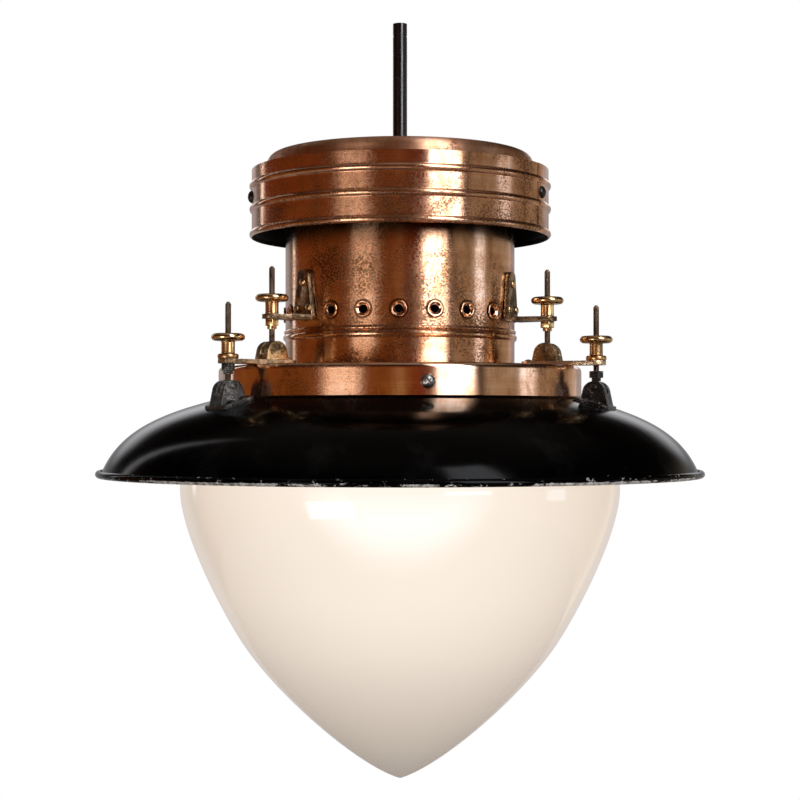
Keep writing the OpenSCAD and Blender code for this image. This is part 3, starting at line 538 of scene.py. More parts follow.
def copper(name, seed, deep, mid, pale, amount=0.5, rough=0.13, brushed=True, inside=None, painted_cap_shade=None,
           outlined=False, dulled=None):
    """Old polished copper: turned streaks, mottled tarnish, pitted patches and soot on its hidden side.

    inside is the radius below which it is sooty; between the two heights given for the cap's shade it darkens
    upwards with painted shade; outlined puts grime round the eyelets, and dulled gives the heights between
    which it has matt flecks all over, and how much.
    """
    material, tree, shader = new_material(name, Metallic=1.0)
    height = put(tree, "SeparateXYZ", {0: object_place(tree)}).outputs["Z"]
    dull = 0.0
    if dulled:
        low, high, much = dulled
        dull = maths(tree, "MULTIPLY", remap(tree, height, (low - 2) * MM, (low + 2) * MM),
                     remap(tree, height, (high + 5) * MM, (high - 5) * MM, 0.0, much))
    streaks = use(tree, STREAKS, Along=18.0, Across=1100.0, Seed=seed)
    patina = use(tree, PATINA, Cloud_Scale=16.0, Seed=seed,
                 Amount=maths(tree, "MULTIPLY_ADD", dull, 0.07, amount))
    tone = maths(tree, "ADD", maths(tree, "MULTIPLY", patina["Clouds"], 0.5),
                 maths(tree, "ADD", maths(tree, "MULTIPLY", streaks["Broad"], 0.25),
                       maths(tree, "MULTIPLY", patina["Mottle"], 0.25)))
    clean = ramp(tree, tone, [(0.38, pale), (0.50, mid), (0.62, deep)])
    stain = remap(tree, patina["Mottle"], 0.48, 0.68, 0.0, 0.5)
    olive = tuple(c * k for c, k in zip(mid, (0.62, 0.60, 0.42)))
    stained = blend_colour(tree, stain, clean, olive)
    fine = remap(tree, streaks["Value"], 0.35, 0.7, 0.0, 0.3)
    colour = blend_colour(tree, fine, stained, deep)
    dark = tuple(0.14 * c for c in deep)
    colour = blend_colour(tree, maths(tree, "MULTIPLY", patina["Specks"], 0.65), colour, dark)
    level = maths(tree, "ADD", patina["Clouds"], amount - 0.5)
    pitted = maths(tree, "ADD", remap(tree, level, 0.42, 0.60, 0.1, 0.7), dull)
    matt = maths(tree, "MULTIPLY", remap(tree, patina["Grain"], 0.44, 0.56), pitted)
    worn = maths(tree, "MULTIPLY_ADD", matt, 1.2, maths(tree, "ADD", stain, patina["Specks"]))
    roughness = maths(tree, "MULTIPLY_ADD", worn, 0.12, remap(tree, tone, 0.38, 0.62, rough, rough + 0.08))
    # Painted shade: the colour darkens upwards towards the cap, where the cap's shadow falls on the chimney
    if painted_cap_shade:
        ragged = maths(tree, "ADD", height, maths(tree, "MULTIPLY", patina["Clouds"], 0.006))
        shade = remap(tree, ragged, painted_cap_shade[0] * MM, painted_cap_shade[1] * MM, 0.0, 0.85)
        colour = blend_colour(tree, shade, colour, tuple(0.14 * c for c in mid))
    if outlined:
        colour = blend_colour(tree, use(tree, EYELET_GRIME)["Mask"], colour, (0.05, 0.02, 0.012))
    if inside:
        sooty = use(tree, SOOT, Radius=inside * MM)["Mask"]
        colour = blend_colour(tree, sooty, colour, (0.010, 0.008, 0.007))
        roughness = remap(tree, sooty, 0.0, 1.0, roughness, 0.75)
    feed(tree, shader, Base_Color=colour, Roughness=roughness)
    if brushed:
        shader.inputs["Anisotropic"].default_value = 0.85
        shader.inputs["Anisotropic Rotation"].default_value = 0.25
        tangent = put(tree, "Tangent", direction_type="RADIAL", axis="Z")
        tree.links.new(tangent.outputs[0], shader.inputs["Tangent"])
    relief = maths(tree, "MULTIPLY_ADD", streaks["Value"], 0.22,
                   maths(tree, "MULTIPLY", maths(tree, "MULTIPLY", patina["Grain"], pitted), 0.45))
    bumped(tree, shader, relief, 0.25, 0.00026)
    return material


def brass(name, seed, dark, light, grain, edges, worn=(0.95, 0.78, 0.45), rough=0.22, amount=0.5, thread=0.0,
          grain_scale=700.0):
    """Cast or turned brass, darker in its hollows and rubbed bright along its edges."""
    material, tree, shader = new_material(name, Metallic=1.0)
    patina = use(tree, PATINA, Cloud_Scale=60.0, Speck_Scale=grain_scale, Amount=amount, Seed=seed)
    base = ramp(tree, patina["Clouds"], [(0.38, light), (0.62, dark)])
    stained = blend_colour(tree, maths(tree, "MULTIPLY", patina["Specks"], 0.7), base,
                           tuple(0.3 * c for c in dark))
    mask = use(tree, WORN, Amount=edges)["Mask"]
    roughness = remap(tree, patina["Clouds"], 0.35, 0.65, rough, rough + 0.2)
    feed(tree, shader, Base_Color=blend_colour(tree, mask, stained, worn),
         Roughness=maths(tree, "ADD", roughness, maths(tree, "MULTIPLY", patina["Specks"], 0.2)))
    height = maths(tree, "MULTIPLY", patina["Grain"], grain)
    if thread:
        height = maths(tree, "ADD", height, maths(tree, "MULTIPLY", use(tree, THREAD)["Height"], thread))
    bumped(tree, shader, height, 0.5, 0.0004)
    return material


def black_enamel():
    """Glossy black stoved enamel with small chips that thicken at the rolled rim."""
    material, tree, shader = new_material("black enamel", IOR=1.15)
    place = object_place(tree)
    xyz = put(tree, "SeparateXYZ", {0: place}).outputs
    radius = put(tree, "VectorMath", {0: put(tree, "CombineXYZ", {"X": xyz["X"], "Y": xyz["Y"]}).outputs[0]},
                 operation="LENGTH").outputs["Value"]
    near_rim = remap(tree, radius, 0.2015, 0.2085)
    under = maths(tree, "MULTIPLY", remap(tree, xyz["Z"], (ROLL_Z - 0.2) * MM, (ROLL_Z - 1.0) * MM),
                  remap(tree, radius, 0.2066, 0.2072))
    rubbed = remap(tree, noise(tree, place, 14.0, 3.0, 0.6), 0.40, 0.60, 0.04, 0.30)
    chips = noise(tree, put(tree, "VectorMath", {0: place, 1: (1, 1, 1.6)}, operation="MULTIPLY").outputs[0],
                  170.0, 6.0, 0.72, 0.4)
    cut = maths(tree, "SUBTRACT", remap(tree, near_rim, 0.0, 1.0, 0.735, 0.60, smooth_step=False),
                maths(tree, "MULTIPLY", under, rubbed))
    bare = maths(tree, "MULTIPLY", maths(tree, "SUBTRACT", chips, cut), 30.0, clamp=True)
    shade = ramp(tree, noise(tree, place, 240.0, 4.0, 0.7),
                 [(0.32, (0.05, 0.045, 0.04)), (0.48, (0.60, 0.58, 0.55)), (0.6, (0.95, 0.94, 0.90))])
    dusty = remap(tree, noise(tree, place, 30.0, 4.0, 0.6), 0.5, 0.75, 0.0, 0.006)
    dust = put(tree, "CombineColor", {0: dusty, 1: dusty, 2: dusty}).outputs[0]
    glaze = blend_colour(tree, 1.0, dust, (0.001, 0.001, 0.001), "ADD")
    feed(tree, shader, Base_Color=blend_colour(tree, bare, glaze, shade),
         Roughness=remap(tree, bare, 0.0, 1.0, 0.13, 0.55))
    orange_peel = maths(tree, "MULTIPLY", noise(tree, place, 90.0, 2.0, 0.5), 0.4)
    height = maths(tree, "SUBTRACT", orange_peel, maths(tree, "MULTIPLY", bare, 0.8))
    bumped(tree, shader, height, 0.25, 0.0005)
    return material


def white_enamel():
    """The white glaze inside the reflector, slightly yellowed, with a few dark chips."""
    material, tree, shader = new_material("white enamel", Coat_Weight=0.5, Coat_Roughness=0.06)
    place = object_place(tree)
    tone = ramp(tree, noise(tree, place, 14.0, 5.0, 0.6),
                [(0.35, (0.80, 0.78, 0.72)), (0.65, (0.70, 0.66, 0.57))])
    chips = noise(tree, place, 160.0, 6.0, 0.75, 0.3)
    bare = maths(tree, "MULTIPLY", maths(tree, "SUBTRACT", chips, 0.73), 30.0, clamp=True)
    feed(tree, shader, Base_Color=blend_colour(tree, bare, tone, (0.035, 0.025, 0.02)),
         Roughness=remap(tree, bare, 0.0, 1.0, 0.18, 0.6))
    bumped(tree, shader, noise(tree, place, 80.0, 2.0, 0.5), 0.1, 0.0005)
    return material


def opal_glass():
    """White opal glass lit from inside: brightest level with the bulb, dimmer towards edges and point."""
    material, tree, shader = new_material("opal glass", Roughness=0.08, IOR=1.4, Coat_Weight=0.5,
                                          Coat_Roughness=0.03)
    place = object_place(tree)
    height = put(tree, "SeparateXYZ", {0: place}).outputs["Z"]
    drop = remap(tree, height, (BULB_Z - 36) * MM, (BULB_Z - 172) * MM, smooth_step=False)
    fall = maths(tree, "POWER", drop, 1.4)
    level = remap(tree, fall, 0.0, 1.0, 1.0, 0.45, smooth_step=False)
    facing = put(tree, "LayerWeight", {"Blend": 0.5}).outputs["Facing"]
    side = blend_colour(tree, facing, (0.97, 0.855, 0.735), (0.60, 0.50, 0.41))
    off = maths(tree, "ABSOLUTE", maths(tree, "SUBTRACT", height, (BULB_Z + 6) * MM))
    hot = maths(tree, "MULTIPLY", remap(tree, off, 0.042, 0.004, 0.0, 0.7), remap(tree, facing, 0.14, 0.03))
    warm = blend_colour(tree, 1.0, side, put(tree, "CombineColor", {0: level, 1: level, 2: level}).outputs[0],
                        "MULTIPLY")
    light = blend_colour(tree, hot, warm, (1.1, 1.1, 1.05))
    clouds = noise(tree, place, 9.0, 3.0, 0.5)
    milk = ramp(tree, clouds, [(0.3, (0.16, 0.15, 0.14)), (0.7, (0.13, 0.12, 0.11))])
    feed(tree, shader, Base_Color=milk, Emission_Color=light)
    shader.inputs["Emission Strength"].default_value = 1.0
    bumped(tree, shader, noise(tree, place, 12.0, 2.0, 0.5), 0.08, 0.002)
    return material


def black_paint(name, seed, base, worn, rough, edges, grain, coat=0.0, metal=0.0, amount=0.4):
    """Black paint or blacking, worn to metal along its edges."""
    material, tree, shader = new_material(name, Metallic=metal, Coat_Weight=coat, Coat_Roughness=0.12)
    patina = use(tree, PATINA, Cloud_Scale=70.0, Speck_Scale=900.0, Amount=amount, Seed=seed)
    mask = use(tree, WORN, Amount=edges)["Mask"]
    grey = blend_colour(tree, maths(tree, "MULTIPLY", patina["Specks"], 0.5), base, worn)
    feed(tree, shader, Base_Color=blend_colour(tree, mask, grey, worn),
         Roughness=remap(tree, patina["Clouds"], 0.3, 0.7, rough, rough + 0.18))
    bumped(tree, shader, maths(tree, "MULTIPLY", patina["Grain"], grain), 0.5, 0.0004)
    return material


def plain(name, colour, rough, metal=0.0, **constants):
    """A quiet finish for what is hidden inside, with a little variation of its own."""
    material, tree, shader = new_material(name, Metallic=metal, **constants)
    place = object_place(tree)
    tone = noise(tree, place, 60.0, 4.0, 0.6)
    darker = tuple(0.75 * c for c in colour)
    feed(tree, shader, Base_Color=ramp(tree, tone, [(0.35, colour), (0.7, darker)]),
         Roughness=remap(tree, tone, 0.3, 0.7, rough, rough + 0.12))
    bumped(tree, shader, noise(tree, place, 500.0, 3.0, 0.6), 0.08, 0.0003)
    return material


MATERIALS = {
    "lid": copper("lid copper", 3.1, deep=(0.52, 0.23, 0.12), mid=(0.72, 0.40, 0.25), pale=(0.88, 0.60, 0.45),
                  amount=0.53, rough=0.34),
    "band": copper("band copper", 7.7, deep=(0.58, 0.27, 0.14), mid=(0.76, 0.43, 0.27),
                   pale=(0.90, 0.63, 0.48), amount=0.54, inside=CAP_R - 0.5,
                   dulled=(RIM_Z - 20, RIM_Z + 16, 0.3)),
    "chimney": copper("chimney copper", 12.3, deep=(0.60, 0.28, 0.14), mid=(0.78, 0.45, 0.28),
                      pale=(0.92, 0.65, 0.50), amount=0.52, inside=CHIMNEY_R - 0.5,
                      # painted shade on the chimney's top, just under the cap
                      painted_cap_shade=(RIM_Z - 12, RIM_Z + 5), outlined=True,
                      dulled=(EYELET_Z - 15, EYELET_Z + 38, 0.7)),
    "collar": copper("collar copper", 21.9, deep=(0.62, 0.30, 0.16), mid=(0.80, 0.48, 0.31),
                     pale=(0.94, 0.69, 0.54)),
    "eyelet": copper("eyelet copper", 33.0, deep=(0.50, 0.19, 0.08), mid=(0.80, 0.44, 0.26),
                     pale=(0.95, 0.68, 0.50), amount=0.40, brushed=False, inside=CHIMNEY_R - 0.25),
    "bright_brass": brass("bright brass", 2.0, dark=(0.52, 0.32, 0.15), light=(0.86, 0.64, 0.34),
                          rough=0.15, grain=0.1, amount=0.45, edges=0.5),
    "aged_brass": brass("aged brass", 5.0, dark=(0.16, 0.10, 0.055), light=(0.48, 0.34, 0.20),
                        worn=(0.92, 0.76, 0.52), grain=1.6, amount=0.62, edges=1.0),
    "lug_brass": brass("lug brass", 8.0, dark=(0.20, 0.12, 0.05), light=(0.60, 0.43, 0.22),
                       worn=(0.92, 0.76, 0.46), grain=3.0, grain_scale=620.0, amount=0.60, edges=1.0),
    "rough_brass": brass("rough brass", 11.0, dark=(0.45, 0.31, 0.17), light=(0.86, 0.69, 0.48),
                         worn=(0.98, 0.90, 0.72), rough=0.24, grain=2.6, grain_scale=520.0, amount=0.56,
                         edges=1.0),
    "rod_steel": brass("rod steel", 14.0, dark=(0.11, 0.075, 0.05), light=(0.36, 0.27, 0.20),
                       worn=(0.6, 0.5, 0.4), rough=0.30, grain=0.3, edges=0.2, thread=0.9),
    "black_brass": black_paint("black castings", 4.0, base=(0.005, 0.005, 0.005), worn=(0.55, 0.54, 0.50),
                               rough=0.20, edges=0.8, grain=2.2, amount=0.5),
    "screw_steel": black_paint("screw steel", 17.0, base=(0.26, 0.25, 0.24), worn=(0.72, 0.70, 0.66),
                               rough=0.24, edges=0.8, grain=0.2, metal=1.0),
    "black_screw": black_paint("blacked screws", 6.0, base=(0.05, 0.048, 0.045), worn=(0.55, 0.53, 0.5),
                               rough=0.30, edges=0.7, grain=0.3, metal=1.0),
    "black_stem": black_paint("stem lacquer", 9.0, base=(0.004, 0.004, 0.004), worn=(0.25, 0.24, 0.22),
                              rough=0.20, edges=0.0, grain=0.01, coat=0.2, amount=0.0),
    "enamel": black_enamel(),
    "white_enamel": white_enamel(),
    "opal": opal_glass(),
    "steel": plain("dull zinc", (0.42, 0.41, 0.39), 0.38, 1.0),
    "porcelain": plain("glazed porcelain", (0.86, 0.85, 0.81), 0.12, Coat_Weight=0.5),
    "wire": plain("wire cover", (0.22, 0.03, 0.025), 0.55),
    "clear_glass": plain("bulb glass", (0.95, 0.95, 0.93), 0.04, Transmission_Weight=1.0, IOR=1.45),
    "filament": plain("filament", (1.0, 0.78, 0.40), 0.4, Emission_Strength=4.0,
                      Emission_Color=(1.0, 0.72, 0.38)),
}


# Camera, light and floor

EYE_Z = (CROWN_Z - 186) * MM
FLOOR_Z = (CROWN_Z - 2400) * MM
CAMERA_DISTANCE = 1.1976
CAMERA_AZIMUTH = math.radians(-8)
CAMERA_TILT = math.radians(0.736)
CAMERA_LENS = 77.04
FLOOR_R = 5.0


def build_camera():
    """The photograph's view: level with the reflector, a little to the left of the front."""
    data = bpy.data.cameras.new("camera")
    data.lens = CAMERA_LENS
    data.sensor_width = 36
    camera = bpy.data.objects.new("camera", data)
    bpy.context.scene.collection.objects.link(camera)
    camera.location = (CAMERA_DISTANCE * math.sin(CAMERA_AZIMUTH),
                       -CAMERA_DISTANCE * math.cos(CAMERA_AZIMUTH), EYE_Z)
    camera.rotation_euler = (math.radians(90) + CAMERA_TILT, 0, CAMERA_AZIMUTH)
    bpy.context.scene.camera = camera


# Studio panels: azimuth from the front towards +X, width, lowest and highest elevation, softness
# of the sides and ends, all in degrees, then the light's colour and strength in one
PANELS = [
    (26.5, 23.5, 0.2, 58, 1.2, 1.0, (1.6, 1.65, 1.75)),
    (26.5, 23.5, 3.5, 58, 1.2, 1.0, (2.2, 2.25, 2.35)),
    (78.0, 13, -8, 7.5, 1.5, 0.9, (0.70, 0.86, 1.10)),
    (-45.0, 21, -30, 5.75, 3.0, 5, (0.40, 0.36, 0.31)),
    (-44.0, 24, -42, -9, 1.5, 1.5, (2.6, 2.6, 2.6)),
    (-140.0, 5, -1, 50, 1.2, 8, (0.9, 0.9, 0.9)),
    (172.0, 78, -40, 10, 12.0, 8, (0.19, 0.19, 0.20)),
    (172.0, 60, 10, 19, 6.0, 4, (0.60, 0.60, 0.62)),
]
# The room's walls, which show only in polished surfaces
WALLS = [
    (-48.0, 176, -45, 14, 4.0, 14, (0.17, 0.033, 0.006)),
    (92.0, 94, -45, 14, 3.0, 8, (0.37, 0.31, 0.23)),
    (-66.0, 130, -45, 2, 4.0, 3.5, (0.06, 0.07, 0.014)),
    (-8.6, 7, -12, 1.5, 2.5, 1.5, (0.22, 0.18, 0.11)),
    (0.0, 360, 52, 100, 1.0, 14, (0.24, 0.20, 0.17)),
]
# The rest of the room: its light on dull surfaces, and what polished ones see of it
ROOM = (0.115, 0.085, 0.07)
ROOM_IN_MIRRORS = (0.012, 0.007, 0.005)
# How much brighter the panels look in a polished surface than their light falls on a dull one
MIRROR_GAIN = 1.0


def panel_light(tree, direction, height, panels):
    """The summed light of the panels in that direction."""
    total = (0.0, 0.0, 0.0)
    for azimuth, width, low, high, soft_side, soft_end, colour in panels:
        turned_way = put(tree, "VectorRotate", {"Vector": direction, "Angle": math.radians(-azimuth)},
                         rotation_type="Z_AXIS").outputs[0]
        way = put(tree, "SeparateXYZ", {0: turned_way}).outputs
        forward = maths(tree, "MULTIPLY", way["Y"], -1)
        side = maths(tree, "ABSOLUTE", maths(tree, "ARCTAN2", way["X"], forward))
        half, ss, se = math.radians(width / 2), math.radians(soft_side), math.radians(soft_end)
        low, high = math.radians(low), math.radians(high)
        across = remap(tree, side, half - ss, half + ss, 1.0, 0.0)
        foot = remap(tree, height, low - se, low + se)
        head = remap(tree, height, high - se, high + se, 1.0, 0.0)
        share = maths(tree, "MULTIPLY", across, maths(tree, "MULTIPLY", foot, head))
        light = put(tree, "VectorMath", {0: colour, "Scale": share}, operation="SCALE").outputs[0]
        total = put(tree, "VectorMath", {0: total, 1: light}, operation="ADD").outputs[0]
    return total


def build_world():
    """A dim room with tall soft panels and a white backdrop, which the camera sees as plain white."""
    world = bpy.data.worlds.new("studio")
    bpy.context.scene.world = world
    world.use_nodes = True
    tree = world.node_tree
    direction = put(tree, "TexCoord").outputs["Generated"]
    height = maths(tree, "ARCSINE", put(tree, "SeparateXYZ", {0: direction}).outputs["Z"])
    path = put(tree, "LightPath").outputs
    gain = maths(tree, "ADD", 1.0, maths(tree, "MULTIPLY", path["Is Glossy Ray"], MIRROR_GAIN))
    panels = put(tree, "VectorMath", {0: panel_light(tree, direction, height, PANELS), "Scale": gain},
                 operation="SCALE").outputs[0]
    walls = put(tree, "VectorMath", {0: panel_light(tree, direction, height, WALLS), 1: ROOM_IN_MIRRORS},
                operation="ADD").outputs[0]
    room = blend_colour(tree, path["Is Glossy Ray"], ROOM, walls)
    studio = blend_colour(tree, 1.0, panels, room, "ADD")
    seen = maths(tree, "ADD", path["Is Camera Ray"], path["Is Transmission Ray"], clamp=True)
    shown = blend_colour(tree, seen, studio, (1.0, 1.0, 1.0))
    tree.links.new(shown, tree.nodes["Background"].inputs["Color"])


def build_floor():
    """A pale round floor far below the lamp, which fades into the white background."""
    deselect()
    bpy.ops.mesh.primitive_circle_add(vertices=96, radius=FLOOR_R, fill_type="NGON", location=(0, 0, FLOOR_Z))
    floor = bpy.context.object
    floor.name = "floor"
    bpy.ops.object.transform_apply(location=True)
    material, tree, shader = new_material("pale floor", Roughness=0.6)
    place = object_place(tree)
    tone = ramp(tree, noise(tree, place, 3.0, 4.0, 0.6),
                [(0.3, (0.86, 0.86, 0.85)), (0.7, (0.82, 0.82, 0.81))])
    tree.links.new(tone, shader.inputs["Base Color"])
    away = put(tree, "VectorMath", {0: place, 1: (0, 0, FLOOR_Z)}, operation="DISTANCE").outputs["Value"]
    path = put(tree, "LightPath").outputs["Is Camera Ray"]
    fade = maths(tree, "MULTIPLY", remap(tree, away, -0.6, 1.3), path)
    white = put(tree, "Emission", {"Color": (1, 1, 1, 1), "Strength": 1.0})
    mix = put(tree, "MixShader", {0: fade, 1: shader.outputs[0], 2: white.outputs[0]})
    tree.links.new(mix.outputs[0], tree.nodes["Material Output"].inputs["Surface"])
    floor.data.materials.append(material)


# Pieces of the lamp

def build_cap():
    """The spun lid and the beaded band with its lap seam."""
    stem_hole_r = 5.1
    skirt_r, skirt_z = CAP_R - COPPER_T - 0.05, STEP_Z - 7
    crown_top_r, crown_foot_r = CROWN_R - 0.6, CROWN_R + 1.2
    lid_path = ([(stem_hole_r, CROWN_Z)]
                + corner((0, CROWN_Z), (crown_top_r, CROWN_Z), (crown_foot_r, STEP_Z), 6.5, 12)
                + corner((crown_top_r, CROWN_Z), (crown_foot_r, STEP_Z), (skirt_r, STEP_Z), 1.0, 4)
                + corner((crown_foot_r, STEP_Z), (skirt_r, STEP_Z), (skirt_r, skirt_z), 1.8, 6)
                + [(skirt_r, skirt_z)])
    lid = turned("lid_sheet", sheet(lid_path, COPPER_T))
    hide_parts("cap_lid")
    finish_piece(lid, "fixed_part", MATERIALS["lid"])

    band_path = [(CAP_R, STEP_Z - 0.1)]
    for z in (STEP_Z - 11.2, STEP_Z - 27.3, RIM_Z + BEAD_HALF):
        band_path += bead(CAP_R, z, BEAD_RISE, BEAD_HALF)
    band_path = softened(band_path, 0.5)
    band = turned("band_sheet", sheet(band_path, COPPER_T))
    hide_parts("cap_band")
    finish_piece(band, "fixed_part", MATERIALS["band"])

    # The band's outer end laps over its inner one: the lap stands out at its cut edge beside the screw
    # and sinks into the band a quarter turn on, because its centre is off the axis
    seam, rise, lap_t = -34, 0.3, 0.4
    lap = turned("band_lap", sheet(band_path, lap_t), steps=64, start=seam, sweep=100)
    lap.location = round_place(rise, seam, 0)
    lap = join("band_lap", [lap])
    finish_piece(lap, "fixed_part", MATERIALS["band"])


def build_chimney():
    """The chimney with its ring bead, and the eyelets rolled into its wall."""
    ring_z = COLLAR_Z + 21.4
    hole_r, hole_depth = 3.5, 12
    # Close to the eyelets the wall has a row of points at each mm, so that their holes are cut cleanly
    near = 8
    wall = [(CHIMNEY_R, CHIMNEY_TOP_Z + i * (EYELET_Z + near - CHIMNEY_TOP_Z) / 6) for i in range(6)]
    wall += [(CHIMNEY_R, EYELET_Z + dz) for dz in range(near, -near - 1, -1)]
    path = softened(wall + bead(CHIMNEY_R, ring_z + 2.7, 1.0, 1.3, 8)
                    + bead(CHIMNEY_R, ring_z - 1.2, 1.6, 2.5), 0.4) + [(CHIMNEY_R, CHIMNEY_FOOT_Z)]
    tube = turned("chimney_sheet", sheet(path, COPPER_T), steps=288)

    step = 120 / (EYELETS_PER_SIDE + 1)
    angles = [a + i * step for a in SETS.values() for i in range(1, EYELETS_PER_SIDE + 1)]
    cutters = []
    for a in angles:
        deselect()
        bpy.ops.mesh.primitive_cylinder_add(vertices=32, radius=hole_r * MM, depth=hole_depth * MM,
                                            location=round_place(CHIMNEY_R, a, EYELET_Z),
                                            rotation=(0, math.radians(90), math.radians(a)))
        cutters.append(bpy.context.object)
    cutter = join("eyelet_cutter", cutters)
    cut = tube.modifiers.new("eyelet holes", "BOOLEAN")
    cut.object = cutter
    cut.solver = "EXACT"
    apply_modifiers(tube)
    bpy.data.objects.remove(cutter)
    smooth(tube)
    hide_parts("chimney_tube")
    finish_piece(tube, "fixed_part", MATERIALS["chimney"])

    ring = softened([(2.7, -2.0), (3.4, -2.0), (3.4, 0.05), (5.45, 0.05), (5.5, 0.7), (5.1, 1.25), (4.3, 1.2),
                     (3.7, 0.55), (3.1, 0.2), (2.7, -0.6), (2.7, -2.0)], 0.5, 4)[:-1]
    first = turned("eyelet", ring, steps=36)
    eyelets = [copy_of(first, round_place(CHIMNEY_R, a, EYELET_Z), (0, math.radians(90), math.radians(a)))
               for a in angles]
    bpy.data.objects.remove(first)
    eyelets = join("eyelet_rings", eyelets)
    smooth(eyelets, 50)
    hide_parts("vent_eyelets")
    finish_piece(eyelets, "fixed_part", MATERIALS["eyelet"])


def build_collar():
    """The wide collar on which the strips lie."""
    hole_r, edge_r = CHIMNEY_R + 0.6, 3.5
    path = ([(hole_r, COLLAR_Z)]
            + corner((hole_r, COLLAR_Z), (COLLAR_R, COLLAR_Z), (COLLAR_R, COLLAR_FOOT_Z), edge_r, 10)
            + [(COLLAR_R, COLLAR_FOOT_Z)])
    collar = turned("collar_sheet", sheet(path, SHEET_T))
    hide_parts("collar")
    finish_piece(collar, "collar_group", MATERIALS["collar"])


def reflector_skin():
    """The reflector's upper skin, from the top of its neck to the rolled rim."""
    spread = ROLL_C - NECK_R
    neck_slope, rim_slope = math.radians(13.2), math.radians(68.6)
    neck_pull, rim_pull = 0.578 * spread, 0.352 * spread
    fold_r, neck_h = 1.3, 3
    fold = arc((ROLL_C, ROLL_Z), fold_r, 201.4, 480, 20)
    start, end = (NECK_R, NECK_Z), fold[0]
    after = (start[0] + neck_pull * math.cos(neck_slope), start[1] - neck_pull * math.sin(neck_slope))
    before = (end[0] - rim_pull * math.cos(rim_slope), end[1] + rim_pull * math.sin(rim_slope))
    skin = curve([start, after, before, end], 40, 1)
    neck_top = (NECK_R, NECK_Z + neck_h)
    neck = [neck_top] + corner(neck_top, start, skin[3], 1.5, 6)
    return neck + skin, fold[1:]


def build_reflector():
    """The black sheet with its rolled rim, and the white glaze under it."""
    skin, fold = reflector_skin()
    glaze_t = 0.25
    black = turned("reflector_sheet", sheet(skin + fold, SHEET_T * 0.97), steps=288)
    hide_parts("reflector")
    finish_piece(black, "reflector_group", MATERIALS["enamel"])
    under = beside(skin, SHEET_T * 0.9)
    white = turned("white_glaze", sheet(under, glaze_t), steps=288)
    finish_piece(white, "reflector_group", MATERIALS["white_enamel"])


def build_globe():
    """The opal globe, held by its lip and drawn down to a point."""
    lip_r, glass_r = 119.05, 113.05
    wide_z = LIP_Z - 74.4
    drop = 202.3
    point_z = wide_z - drop
    r = GLOBE_R
    mid = (0.728 * r, wide_z - 0.515 * drop)
    path = ([(glass_r, LIP_Z)]
            + curve([(glass_r, LIP_Z - 22), (glass_r, LIP_Z - 42), (r, wide_z + 38), (r, wide_z)], 32)
            + curve([(r, wide_z), (r, wide_z - 0.14 * drop), (0.828 * r, wide_z - 0.395 * drop), mid], 28, 1)
            + curve([mid, (0.58 * r, wide_z - 0.692 * drop), (0.202 * r, wide_z - 0.949 * drop),
                     (0, point_z)], 28, 1))
    inside = [p for p in beside(path, GLASS_T)[::-1] if p[0] > 1]
    top = LIP_Z + 5.5
    outline = (corner((0, top), (lip_r, top), (lip_r, LIP_Z), 2, 6)
               + corner((lip_r, top), (lip_r, LIP_Z), (glass_r, LIP_Z), 1.2, 5)
               + path + [(0, point_z + 1.06 * GLASS_T)] + inside
               + corner((glass_r - GLASS_T, LIP_Z), (glass_r - GLASS_T, top), (lip_r, top), 1.5, 5))
    globe = turned("globe_glass", outline, steps=256, angle=60)
    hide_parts("globe")
    finish_piece(globe, "collar_group", MATERIALS["opal"])


def build_thumb_nuts():
    """The turned brass thumb nuts of the inner and outer rods."""
    edge, hub, hub_h, top, hole = 11.0, 4.5, 8.3, 13.1, 2.0
    outline = softened([(hole, 0), (hub - 0.4, 0), (hub, 0.4), (hub, 1.2), (hub - 0.1, 1.4), (hub - 0.1, 7.2),
                        (hub + 0.3, hub_h), (edge - 2.2, hub_h)], 0.4, 4)
    outline += arc((edge - 2.4, hub_h + 2.4), 2.4, -80, 80, 12)
    outline += softened([(edge - 3.0, top), (hub + 2.6, top), (hub + 1.8, top - 0.8), (hole + 0.8, top - 0.8),
                         (hole, top - 1.4)], 0.5, 4)
    first = turned("thumb_nut", outline, steps=72)
    for level, radius, z in (("inner", INNER_ROD_R, ARM_Z + 0.1), ("outer", OUTER_ROD_R, STRIP_Z + 3.4)):
        for s, a in SETS.items():
            nut = join(f"{level}_turned_nut_{s}", [copy_of(first, round_place(radius, a, z))])
            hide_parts(f"{level}_thumb_nut_{s}")
            finish_piece(nut, f"{level}_thumb_nut_{s}", MATERIALS["bright_brass"])
    bpy.data.objects.remove(first)


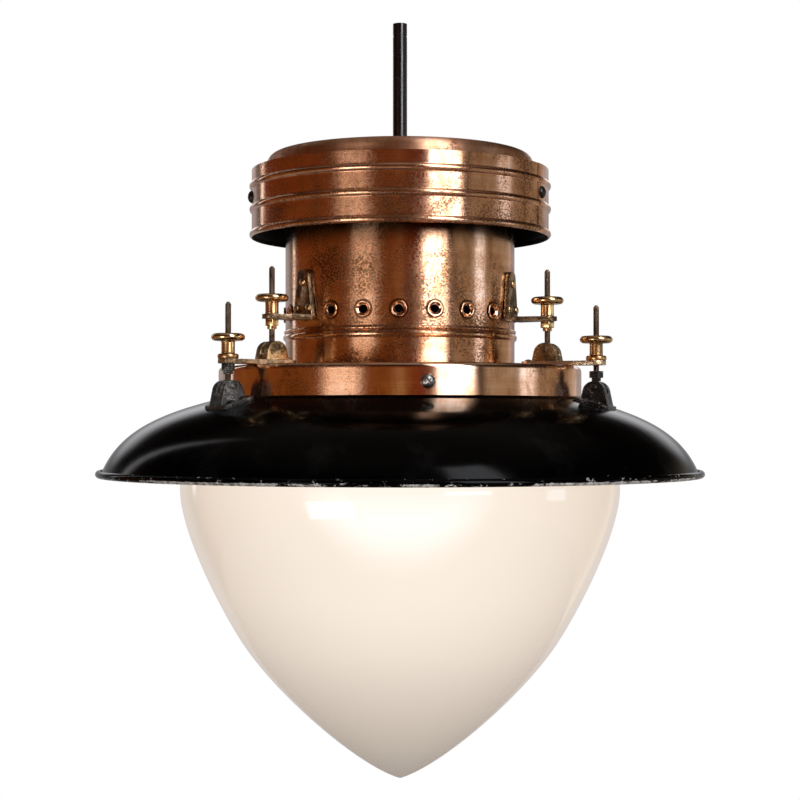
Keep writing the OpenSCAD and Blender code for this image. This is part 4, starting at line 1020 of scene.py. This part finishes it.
# CAD nodes that are refined: body, edge radius in mm, material, record slot; {s} stands for each set
SMALL_PIECES = {
    "cap_screws": ("fixed_part", 0.15, "black_screw", "black_screw"),
    "bracket_{s}": ("fixed_part", 0.3, "aged_brass", "aged_brass"),
    "bracket_rivets": ("fixed_part", 0.1, "bright_brass", "aged_brass"),
    "stem_tube": ("fixed_part", 0, "black_stem", "black_stem"),
    "strip_{s}": ("collar_group", 0.45, "rough_brass", "rough_brass"),
    "strip_rivets": ("collar_group", 0.1, "rough_brass", "rough_brass"),
    "inner_lug_{s}": ("collar_group", 0.5, "lug_brass", "aged_brass"),
    "inner_pins": ("collar_group", 0.1, "rod_steel", "steel"),
    "inner_rod_{s}": ("collar_group", 0.15, "rod_steel", "rod_steel"),
    "inner_collar_nuts": ("collar_group", 0.3, "bright_brass", "bright_brass"),
    "outer_washers": ("collar_group", 0, "bright_brass", "bright_brass"),
    "glass_screw_{s}": ("glass_screw_{s}", 0.15, "screw_steel", "black_screw"),
    "outer_lug_{s}": ("reflector_group", 0.5, "black_brass", "black_brass"),
    "outer_pins": ("reflector_group", 0.1, "black_brass", "steel"),
    "lug_rivets": ("reflector_group", 0.1, "black_screw", "black_brass"),
    "outer_rod_{s}": ("reflector_group", 0.15, "rod_steel", "rod_steel"),
    "outer_collar_nuts": ("reflector_group", 0.3, "black_brass", "black_brass"),
}

# CAD nodes that are shown as they are
HIDDEN_PIECES = {
    "stem_nuts": "steel", "stem_washers": "steel", "lead_wires": "wire", "cap_screw_nuts": "steel",
    "cap_crossbar": "steel", "chimney_crossbar": "steel", "chimney_rivets": "eyelet",
    "lampholder_cap": "porcelain", "lampholder_body": "porcelain", "lampholder_shell": "bright_brass",
    "lampholder_contact": "bright_brass", "bulb_glass": "clear_glass", "bulb_cap": "bright_brass",
    "bulb_filament": "filament", "glass_screw_nuts": "bright_brass",
}


def build_small_pieces():
    """The rest of the lamp, from its CAD nodes."""
    for pattern, (body, edge, material, slot) in SMALL_PIECES.items():
        for s in SETS if "{s}" in pattern else [""]:
            node = pattern.format(s=s)
            piece = refined(node, node + "_dressed", edge)
            finish_piece(piece, body.format(s=s), MATERIALS[material])
    for node, material in HIDDEN_PIECES.items():
        shown = frame["nodes"][node]
        shown.data.materials.clear()
        shown.data.materials.append(MATERIALS[material])


build_camera()
build_world()
build_floor()
build_cap()
build_chimney()
build_collar()
build_reflector()
build_globe()
build_thumb_nuts()
build_small_pieces()

bpy.context.scene.view_settings.view_transform = "Standard"
deselect()
